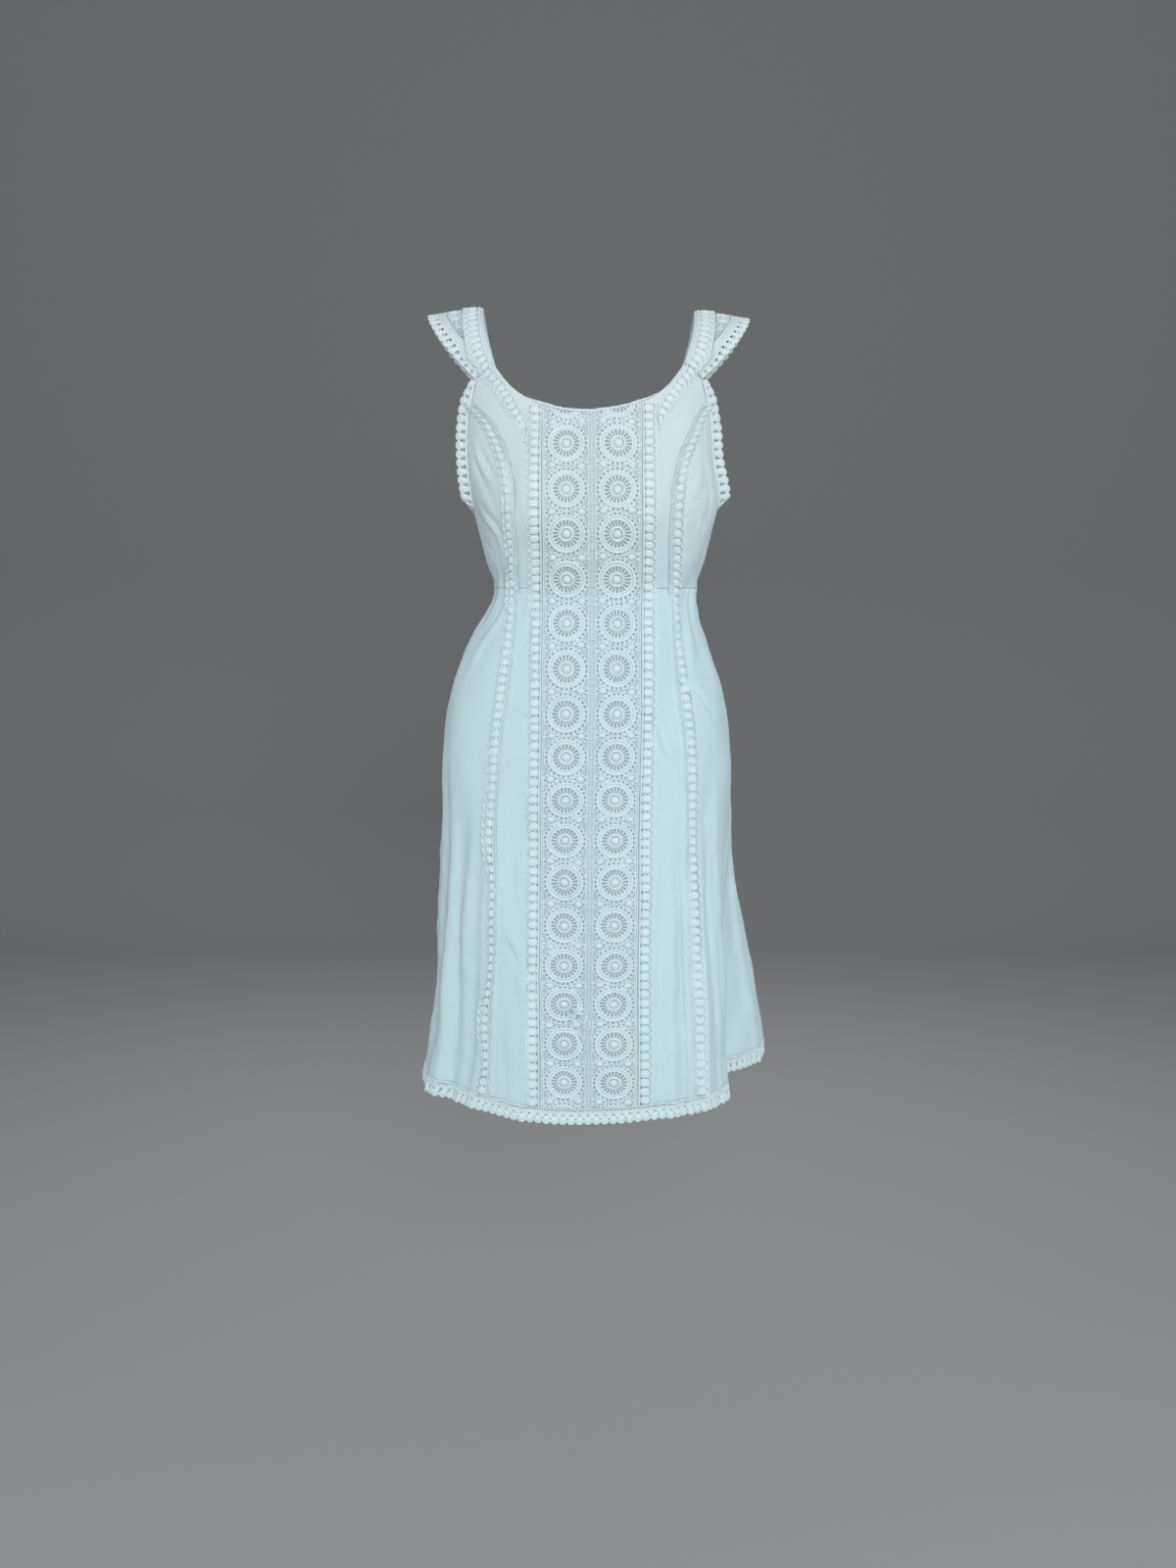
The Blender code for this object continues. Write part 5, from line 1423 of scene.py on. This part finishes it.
class Look:
    """A material, with short ways to add nodes to it."""

    def __init__(self, name, colour, roughness, sheen=0.0):
        self.material = bpy.data.materials.new(name)
        self.material.use_nodes = True
        self.tree = self.material.node_tree
        self.shader = self.tree.nodes["Principled BSDF"]
        self.feed(self.shader, "Base Color", (*colour, 1.0))
        self.feed(self.shader, "Roughness", roughness)
        self.feed(self.shader, "Specular IOR Level", 0.25)
        if sheen:
            self.feed(self.shader, "Sheen Weight", sheen)
            self.feed(self.shader, "Sheen Roughness", 0.5)

    def feed(self, node, name, value):
        """Sets an input to a value, or links another node's output to it."""
        if isinstance(value, bpy.types.NodeSocket):
            self.tree.links.new(value, node.inputs[name])
        else:
            node.inputs[name].default_value = value

    def add(self, kind, inputs, **settings):
        """A node. Its inputs are values or other nodes' outputs."""
        node = self.tree.nodes.new("ShaderNode" + kind)
        for name, value in settings.items():
            setattr(node, name, value)
        for name, value in inputs.items():
            self.feed(node, name, value)
        return node

    def place(self, kind):
        """Coordinates of this kind: Object or UV."""
        return self.add("TexCoord", {}).outputs[kind]

    def math(self, operation, a, b=0.0):
        return self.add("Math", {0: a, 1: b}, operation=operation).outputs[0]

    def noise(self, at, scale, detail):
        inputs = {"Vector": at, "Scale": scale, "Detail": detail}
        return self.add("TexNoise", inputs).outputs["Fac"]

    def mix(self, share, first, second, **settings):
        inputs = {"Factor": share, "A": first, "B": second}
        return self.add("Mix", inputs, data_type="RGBA", **settings).outputs["Result"]

    def colour(self, share, dark, light, painted_light_tints=None):
        """Mixes the colour from dark to light. Given two colours of painted light, the first
        applies to the lower part of the dress and the second, warmer, to the upper."""
        colour = self.mix(share, (*dark, 1.0), (*light, 1.0))
        if painted_light_tints:
            z = self.add("SeparateXYZ", {0: self.place("Object")}).outputs[2]
            inputs = {"Value": z, "From Min": PAINTED_LIGHT_HEIGHTS[0], "From Max": PAINTED_LIGHT_HEIGHTS[1]}
            height = self.add("MapRange", inputs, interpolation_type="SMOOTHSTEP")
            tint = self.mix(height.outputs["Result"], *((*tint, 1.0) for tint in painted_light_tints))
            colour = self.mix(1.0, colour, tint, blend_type="MULTIPLY")
        self.feed(self.shader, "Base Color", colour)

    def bumps(self, *layers):
        """Each layer is its height, its distance in metres and its strength."""
        normal = None
        for height, distance, strength in layers:
            inputs = {"Height": height, "Distance": distance, "Strength": strength}
            if normal is not None:
                inputs["Normal"] = normal
            normal = self.add("Bump", inputs).outputs["Normal"]
        self.feed(self.shader, "Normal", normal)


def cotton_material(name, dark, light):
    """Plain-woven cotton: crossing threads, slubs and soft small creases."""
    look = Look(name, light, 0.88, 0.18)
    flat = look.add("SeparateXYZ", {0: look.place("UV")})
    per_metre = 2 * math.pi / 0.00062
    warp, weft = (
        look.math("SINE", look.math("MULTIPLY", flat.outputs[k], per_metre)) for k in (0, 1)
    )
    weave = look.math("MULTIPLY", warp, weft)
    stretched = look.add("Mapping", {"Scale": (900.0, 130.0, 1.0), "Vector": look.place("UV")})
    slub = look.noise(stretched.outputs[0], 1.0, 2.0)
    soft = look.noise(look.place("Object"), 55.0, 3.0)
    broad = look.noise(look.place("Object"), 9.0, 3.0)
    tone = look.math("ADD", look.math("MULTIPLY", slub, 0.35), look.math("MULTIPLY", broad, 0.65))
    look.colour(tone, dark, light, CLOTH_PAINTED_LIGHT)
    look.bumps(
        (broad, 0.004, 0.22), (soft, 0.0012, 0.40), (slub, 0.00012, 0.40), (weave, 0.00005, 0.5)
    )
    return look.material


def thread_material(name, dark, light):
    """Mercerised crochet cotton: rounded stitches of twisted thread."""
    look = Look(name, light, 0.80, 0.12)
    at = look.place("Object")
    inputs = {"Vector": at, "Scale": 720.0, "Smoothness": 0.6}
    stitch = look.add("TexVoronoi", inputs, feature="SMOOTH_F1").outputs["Distance"]
    fine, broad = look.noise(at, 2400.0, 2.0), look.noise(at, 40.0, 3.0)
    # the tone is darker towards the edge of each stitch, where the bumps dip: painted shade
    # between the stitches; it also varies at random in broad patches
    tone = look.math("ADD", look.math("MULTIPLY", stitch, -0.5), 0.75)
    tone = look.math("MULTIPLY", tone, look.math("ADD", broad, 0.5))
    look.colour(tone, dark, light, THREAD_PAINTED_LIGHT)
    look.bumps((stitch, 0.0006, -0.55), (fine, 0.0001, 0.35))
    return look.material


def enamel_material(name, dark, light):
    look = Look(name, light, 0.35)
    look.feed(look.shader, "Metallic", 0.15)
    spots = look.noise(look.place("Object"), 900.0, 3.0)
    look.colour(spots, dark, light)
    look.bumps((spots, 0.0001, 0.25))
    return look.material


def all_materials():
    looks = {name: cotton_material(name, *pair) for name, pair in COTTON_COLOURS.items()}
    looks |= {name: thread_material(name, *pair) for name, pair in THREAD_COLOURS.items()}
    looks["zip_metal"] = enamel_material("zip_metal", *ENAMEL_COLOURS)
    return looks


# The dress


def width_between(start, end, z):
    """The cloth's width between two lines, at one height."""
    shares = np.linspace(0, 1, 60)
    z = np.full_like(shares, z)
    points, _ = SURFACE.at(start(z) + (end(z) - start(z)) * shares, z)
    return np.linalg.norm(np.diff(points, axis=0), axis=1).sum()


def panel(name, start, end, top, behind=False, armhole=None, zip_edge=False, material="cotton"):
    """A cloth panel between two lines down the garment. top is neck, armhole or waist. Where the
    first line is the edge beside the zip, no seam gap is taken off it."""
    skirt = top == "waist"
    width = width_between(start, end, SKIRT_MEASURE_Z if skirt else BODICE_MEASURE_Z)
    across = ticks(width, PANEL_STEP) / width
    gaps = (0.0 if zip_edge else SEAM_GAP / 2, SEAM_GAP / 2)
    shares = gaps[0] / width + across * (1 - sum(gaps) / width)

    def line(z):
        return start(z) + (end(z) - start(z)) * shares

    like = np.zeros_like(shares)
    if top == "neck":
        tops = neck_height(line, like, behind)
    elif top == "armhole":
        tops = armhole_height(line, like, armhole)
        tops[0], tops[-1] = SEAM_TOP_Z, UNDERARM_Z
    else:
        tops = np.full_like(like, WAIST_Z)
    ends = np.full_like(like, WAIST_Z)
    if skirt:
        ends = hem_height(line(np.full_like(like, NEAR_HEM_Z)))
    length = (tops - ends).max()
    down = ticks(length, PANEL_STEP) / length
    z = tops + (ends - tops) * down[:, None]
    z = np.clip(z, ends + SEAM_GAP / 2, tops - SEAM_GAP / 2)
    points, normals = SURFACE.at(line(z), z)
    obj, size, area = shell(name + "_cloth", points, normals, CLOTH, MATERIALS[material])
    declare(obj, name, size, area)


SHEETS = []  # [cloth, its size laid flat, its area, pieces that go with it]


def declare(obj, node, size, area):
    """The cloth takes the place of a CAD node, and is kept in the list of sheets."""
    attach(obj, "dress")
    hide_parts(node)
    SHEETS.append([obj, size, area, []])


def dress_piece(name, part, mapping, material, nodes):
    obj = lay(name, part, mapping, MATERIALS[material])
    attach(obj, "dress")
    if nodes:
        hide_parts(*nodes)
    return obj


def crocheted(name, patterns, mapping, kind, nodes, gap="gap"):
    """Thread-work of a kind, lace or trim, and a second piece painted in shade: dark marks for
    what shows between its threads.
    """
    threads, gaps = patterns
    return (
        dress_piece(name, threads, mapping, kind, nodes),
        dress_piece(name + "_gaps", gaps, mapping, gap, []),
    )


def goes_with(panel_name, *objs):
    for sheet in SHEETS:
        if sheet[0].name == panel_name + "_cloth":
            sheet[3] += objs


def surface_strip(lines, z, lift, width):
    """A strip along three lines down the garment."""
    return strip_over([SURFACE.at(line(z), z) for line in lines], lift, width)


def dress_panels():
    for part, top, outer_top in (("bodice", "neck", "armhole"), ("skirt", "waist", "waist")):
        left, right = front_line(LACE_HALF), front_line(-LACE_HALF)
        # the centre panels under the lace take the darker cotton: painted shade
        panel(f"front_centre_{part}", right, left, top, material="painted_shade_behind_lace")
        for side, name in SIDES:
            start, end = front_line(side * LACE_HALF), shoulder_line(side, False)
            panel(f"front_side_{name}_{part}", start, end, top)
            start, end = centre_back_line(side), shoulder_line(side, True)
            panel(f"back_centre_{name}_{part}", start, end, top, behind=True, zip_edge=True)
            for behind, kind in ((False, "side_front"), (True, "back_outer")):
                start, armhole = princess_line(side, behind), armhole_line(side, behind)
                end = side_line(side)
                panel(f"{kind}_{name}_{part}", start, end, outer_top, behind, armhole)


def front_lace():
    """The wheel lace over the centre front, cut along the neck and the hem."""
    rows = np.arange(len(LACE_ROWS)) * LACE_PITCH
    levels = np.array(LACE_ROWS) * 1000

    def angle_of(across, z):
        return angle_at(across / 1000 + lookup(PRINCESS, z, "lace"), z)

    def neck(points):
        x = np.abs(points[:, 0] / 1000 + LACE_SHIFT - NECK_SHIFT)
        return (lookup(NECK_FRONT, x, "z") - SEAM_GAP) * 1000

    def hem(points):
        z = np.full(len(points), NEAR_HEM_Z)
        return (hem_height(angle_of(points[:, 0], z)) + SEAM_GAP) * 1000

    def hung(part):
        points, quads, triangles = part
        points = points.copy()
        points[:, 1] = np.interp(points[:, 1], rows, levels)
        return cut(cut((points, quads, triangles), neck, True), hem, False)

    def mapping(flat):
        across = np.clip(flat[:, 0], -LACE_EDGE, LACE_EDGE)
        z = flat[:, 1] / 1000
        at, normals = SURFACE.at(angle_of(across, z), z)
        return at + normals * (CLOTH + SEAM_GAP + flat[:, 2:3] / 1000)

    patterns = [hung(part) for part in lace_pattern()]
    nodes = ["lace_panel_bodice", "lace_panel_skirt"]
    objs = crocheted("wheel_lace", patterns, mapping, "lace", nodes, "lace_painted_shade")
    goes_with("front_centre_skirt", *objs)


def princess_trim_line(start, share):
    """A line down the trim set into a princess seam, at a share of the trim's width."""

    def angle(z):
        width = PRINCESS_TRIM_WIDTH + HIP_TRIM_GROWTH * smooth_step((WAIST_Z - z) / 0.12)
        return beside(start, (width + TRIM_OVERHANG) * share)(z)

    return angle


def foot_of(line):
    """Where a trim down the skirt ends, just above the hem trim."""
    return float(hem_height(line(np.array([NEAR_HEM_Z])))[0]) + 0.0004


def lace_edging(side, name):
    """The crochet trim beside the lace panel."""
    start = front_line(side * LACE_HALF)
    top = float(neck_height(start, np.zeros(1), False)[0]) - 0.001
    z = np.linspace(top, foot_of(start), 760)
    lines = [start, beside(start, LACE_TRIM_WIDTH / 2), beside(start, LACE_TRIM_WIDTH)]
    strip = surface_strip(lines, z, CLOTH + TRIM_BASE, LACE_TRIM_WIDTH)
    patterns = lace_trim_pattern(strip.length)
    objs = crocheted(f"lace_edging_{name}", patterns, strip, "trim", [f"lace_trim_{name}"])
    goes_with(f"front_side_{name}_skirt", *objs)


def rolled(strip, z):
    """Rolls a strip over on itself at the heights that ROLLED gives."""
    share, up = lookup(ROLLED, z, "share")[:, None], lookup(ROLLED, z, "up")[:, None]
    inner, middle, outer = strip.lines
    strip.lines[1] = inner + (middle - inner) * share + strip.normals[1] * up / 1000
    strip.lines[2] = inner + (outer - inner) * share + strip.normals[2] * up / 2000


def princess_edging(side, name):
    """The crochet trim set into a front princess seam."""
    start = princess_line(side, False)
    z = np.linspace(SEAM_TOP_Z - 0.004, foot_of(start), 780)
    lines = [princess_trim_line(start, share) for share in ACROSS]
    width = PRINCESS_TRIM_WIDTH + HIP_TRIM_GROWTH + TRIM_OVERHANG
    strip = surface_strip(lines, z, CLOTH + TRIM_BASE, width)
    if name == "right":
        rolled(strip, z)
    patterns = princess_trim_pattern(strip.length)
    nodes = [f"princess_trim_{name}_bodice", f"princess_trim_{name}_skirt"]
    objs = crocheted(f"princess_edging_{name}", patterns, strip, "trim", nodes)
    goes_with(f"side_front_{name}_skirt", *objs)


def seam_band(side, name):
    """The pressed seam allowance that shows through as a flat band inside the princess trim."""
    start = princess_line(side, False)
    z = np.linspace(WAIST_Z - 0.006, foot_of(start), 520)
    inner, outer = -0.0050, 0.0012
    lines = [beside(start, inner + (outer - inner) * share) for share in ACROSS]
    strip = surface_strip(lines, z, CLOTH + 0.0001, outer - inner)
    along = np.linspace(0, strip.length, 300)
    rise = 0.55 * smooth_step(along / 30) * smooth_step((strip.length - along) / 4) + 0.05
    half = strip.width / 2
    band = thread(np.stack([along, np.full_like(along, half)], axis=-1), half, 0.0, rise)
    obj = dress_piece(f"seam_band_{name}", band, strip, "cotton", [])
    goes_with(f"front_side_{name}_skirt", obj)


def strap_cloth(side, name):
    steps = strap_steps(90)
    shares = np.array([[0.0, 0.02, 0.06, 0.2, 0.4, 0.6, 0.8, 0.94, 0.98, 1.0]])
    across = band_end(steps)[:, None] * shares
    points, normals = strap_skin(side, np.repeat(steps[:, None], shares.size, axis=1), across)
    obj, size, area = shell(f"strap_{name}_cloth", points, normals, CLOTH, MATERIALS["cotton"])
    declare(obj, f"strap_{name}", size, area)


def neck_edging(side, name):
    """The trim round the neck. Its lower end in front is cut along the trim beside the lace."""
    strip = strip_over(neck_lines(side), CLOTH + NECK_TRIM_BASE, NECK_BAND)
    start = side * (LACE_HALF + LACE_TRIM_WIDTH + 0.0018) * 1000 + LACE_SHIFT * 1000
    far = 500.0

    def cut_line(points):
        in_front = np.clip(points[:, 2] / 20 + 1, 0, 1)
        return start - side * far * in_front

    def cut_off(pattern):
        flat, quads, triangles = pattern
        in_z_x_y = strip(flat)[:, [2, 0, 1]] * 1000
        return cut((in_z_x_y, quads, triangles), cut_line, side < 0)

    def turned_back(points):
        return points[:, [1, 2, 0]] / 1000

    patterns = [cut_off(pattern) for pattern in neck_trim_pattern(strip.length)]
    nodes = [f"neck_trim_{name}"]
    return crocheted(f"neck_edging_{name}", patterns, turned_back, "trim", nodes, "soft_painted_shade")


def cap_edging(side, name):
    steps = strap_steps(90)
    strip = strap_strip(side, steps, edging_start(steps), strap_reach(steps), CAP_EDGING_WIDTH)
    patterns = cap_edging_pattern(strip.length)
    nodes = [f"cap_edging_{name}"]
    return crocheted(f"cap_scallops_{name}", patterns, strip, "trim", nodes, "deep_painted_shade")


def cap_lace(side, name):
    """The lace between the strap's cloth and the cap's edging, where they are far enough apart."""
    steps = strap_steps(90)
    steps = steps[edging_start(steps) > band_end(steps) + 0.0015]
    inner, outer = band_end(steps) + SEAM_GAP, edging_start(steps) - SEAM_GAP
    strip = strap_strip(side, steps, inner, outer, CAP_LACE_WIDTH)
    patterns = cap_lace_pattern(strip.length)
    nodes = [f"cap_lace_{name}"]
    return crocheted(f"cap_wheel_lace_{name}", patterns, strip, "lace", nodes, "deep_painted_shade")


def armhole_edging(side, name):
    strip = Strip(*armhole_lines(side), ARMHOLE_TRIM_WIDTH)
    patterns = armhole_trim_pattern(strip.length)
    nodes = [f"armhole_trim_{name}"]
    return crocheted(f"armhole_scallops_{name}", patterns, strip, "trim", nodes, "deep_painted_shade")


def shoulders():
    for side, name in SIDES:
        strap_cloth(side, name)
        for trim in (neck_edging, cap_edging, cap_lace, armhole_edging):
            goes_with(f"strap_{name}", *trim(side, name))


def hem_edging(name, first, last, goes_under):
    """The hem's trim between two angles."""
    turn = float(degrees_for(SEAM_GAP, first, FOLD_END_Z))
    angles = np.linspace(first + turn, last - turn, 900)
    top = hem_height(angles) - SEAM_GAP / 2
    depth = HEM_TRIM_DEPTH - SEAM_GAP / 2
    strip = strip_over([SURFACE.at(angles, top - depth * t) for t in ACROSS], 0.0, HEM_TRIM_DEPTH)
    patterns = hem_trim_pattern(strip.length)
    objs = crocheted(f"hem_scallops_{name}", patterns, strip, "trim", [f"hem_trim_{name}"])
    goes_with(goes_under, *objs)


def neck_roll():
    """The binding on the neck edge, from one lace trim's outer edge to the other's."""
    reach = LACE_HALF + LACE_TRIM_WIDTH
    across = np.linspace(-reach, reach, 160)
    x = across + LACE_SHIFT
    edge = lookup(NECK_FRONT, np.abs(x - NECK_SHIFT), "z") + SEAM_GAP
    tall = 0.0010 + 0.0028 * smooth_step((reach - np.abs(across)) / 0.022)
    heights = [edge + tall * share for share in ACROSS]
    strip = strip_over([SURFACE.at(angle_at(x, z), z) for z in heights], 0.0, 0.0045)

    def tapered(flat):
        from_end = np.minimum(flat[:, 0], strip.length - flat[:, 0]) / 1000
        flat = flat.copy()
        flat[:, 2] *= 0.2 + 0.8 * smooth_step(from_end / 0.022)
        return strip(flat)

    pattern = binding_pattern(strip.length)
    obj = dress_piece("neck_roll", pattern, tapered, "lace", ["neck_binding"])
    goes_with("front_centre_bodice", obj)


def zip_tape(top):
    """The tape behind the slot at centre back."""
    z = np.linspace(top, ZIP_TAPE_END_Z + 0.0005, 110)[:, None]
    reach = np.array([[-1.0, -0.98, -0.9, -0.5, -0.15, 0.0, 0.15, 0.5, 0.9, 0.98, 1.0]])
    angles = 180.0 + reach * degrees_for(ZIP_TAPE_HALF, ZIP_SIDE_DEG, z)
    points, normals = SURFACE.at(angles, z + 0 * reach)
    material, lift = MATERIALS["zip_tape"], -SEAM_GAP - ZIP_TAPE
    obj, size, area = shell("zip_tape_cloth", points, normals, ZIP_TAPE, material, lift)
    declare(obj, "zip_tape", size, area)


def zip_coil(top):
    z = np.linspace(top, ZIP_END_Z, 300)
    half = 0.001
    turn = degrees_for(half, ZIP_SIDE_DEG, z)
    strip = strip_over([SURFACE.at(180.0 + turn * k, z) for k in (-1, 0, 1)], -SEAM_GAP, 2 * half)

    def centred(flat):
        return strip(flat + (0.0, half * 1000, 0.0))

    pattern = coil_pattern(strip.length)
    obj = dress_piece("zip_coil", pattern, centred, "zip_tape", [])
    goes_with("zip_tape", obj)


def zip_closure():
    top = float(NECK_BACK["z"][0]) - 0.001
    zip_tape(top)
    zip_coil(top - 0.004)
    for node in ("zip_slider", "zip_pull"):
        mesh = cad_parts[node].data
        mesh.materials.clear()
        mesh.materials.append(MATERIALS["zip_metal"])


# The studio


def add_camera(scene):
    camera = bpy.data.objects.new("Camera", bpy.data.cameras.new("Camera"))
    scene.collection.objects.link(camera)
    scene.camera = camera
    camera.location = CAMERA_SPOT
    camera.rotation_euler = (math.radians(90 + CAMERA_TILT_DEG), 0.0, 0.0)
    camera.data.sensor_fit = "VERTICAL"
    camera.data.sensor_height = FRAME_HEIGHT
    camera.data.lens = FRAME_HEIGHT * FOCAL_SHARE


def add_backdrop(scene):
    """A floor that curves up into a backdrop."""
    profile = [(FLOOR_START_Y, FLOOR_Z), (BEND_Y, FLOOR_Z)]
    for turn in np.linspace(0, np.pi / 2, 24)[1:]:
        out, rise = BEND_RADIUS * math.sin(turn), BEND_RADIUS * (1 - math.cos(turn))
        profile.append((BEND_Y + out, FLOOR_Z + rise))
    profile.append((BEND_Y + BEND_RADIUS, BACKDROP_TOP_Z))
    points = [(x, y, z) for y, z in profile for x in (-FLOOR_HALF_WIDTH, FLOOR_HALF_WIDTH)]
    corners = range(0, len(points) - 2, 2)
    mesh = bpy.data.meshes.new("floor")
    mesh.from_pydata(points, [], [(k, k + 1, k + 3, k + 2) for k in corners])
    mesh.shade_smooth()
    mesh.materials.append(Look("floor", FLOOR, 0.9).material)
    floor = bpy.data.objects.new("floor", mesh)
    scene.collection.objects.link(floor)


def add_lights(scene):
    world = bpy.data.worlds.new("studio")
    scene.world = world
    world.use_nodes = True
    background = world.node_tree.nodes["Background"]
    background.inputs["Color"].default_value = (*WORLD, 1.0)
    background.inputs["Strength"].default_value = WORLD_STRENGTH
    for name, spot, size, power in LIGHTS:
        data = bpy.data.lights.new(name, "AREA")
        data.shape = "DISK"
        data.size, data.energy = size, power
        lamp = bpy.data.objects.new(name, data)
        lamp.location = spot
        way = Vector(AIM) - Vector(spot)
        lamp.rotation_euler = way.to_track_quat("-Z", "Y").to_euler()
        scene.collection.objects.link(lamp)


def studio():
    scene = bpy.context.scene
    scene.view_settings.view_transform = "Standard"
    add_camera(scene)
    add_backdrop(scene)
    add_lights(scene)


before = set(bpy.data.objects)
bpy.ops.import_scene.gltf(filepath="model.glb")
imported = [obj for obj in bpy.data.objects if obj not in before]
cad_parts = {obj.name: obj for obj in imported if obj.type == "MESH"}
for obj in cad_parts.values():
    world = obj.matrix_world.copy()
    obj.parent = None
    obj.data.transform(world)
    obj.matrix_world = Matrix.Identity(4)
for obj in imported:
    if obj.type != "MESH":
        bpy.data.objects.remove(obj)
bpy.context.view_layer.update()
SURFACE = Surface()
MATERIALS = all_materials()

dress_panels()
front_lace()
for side, name in SIDES:
    lace_edging(side, name)
    princess_edging(side, name)
    seam_band(side, name)
shoulders()
hem_edging("front", -SIDE_SEAM_DEG, SIDE_SEAM_DEG, "front_centre_skirt")
hem_edging("back", SIDE_SEAM_DEG, 360.0 - SIDE_SEAM_DEG, "back_centre_left_skirt")
neck_roll()
zip_closure()

studio()
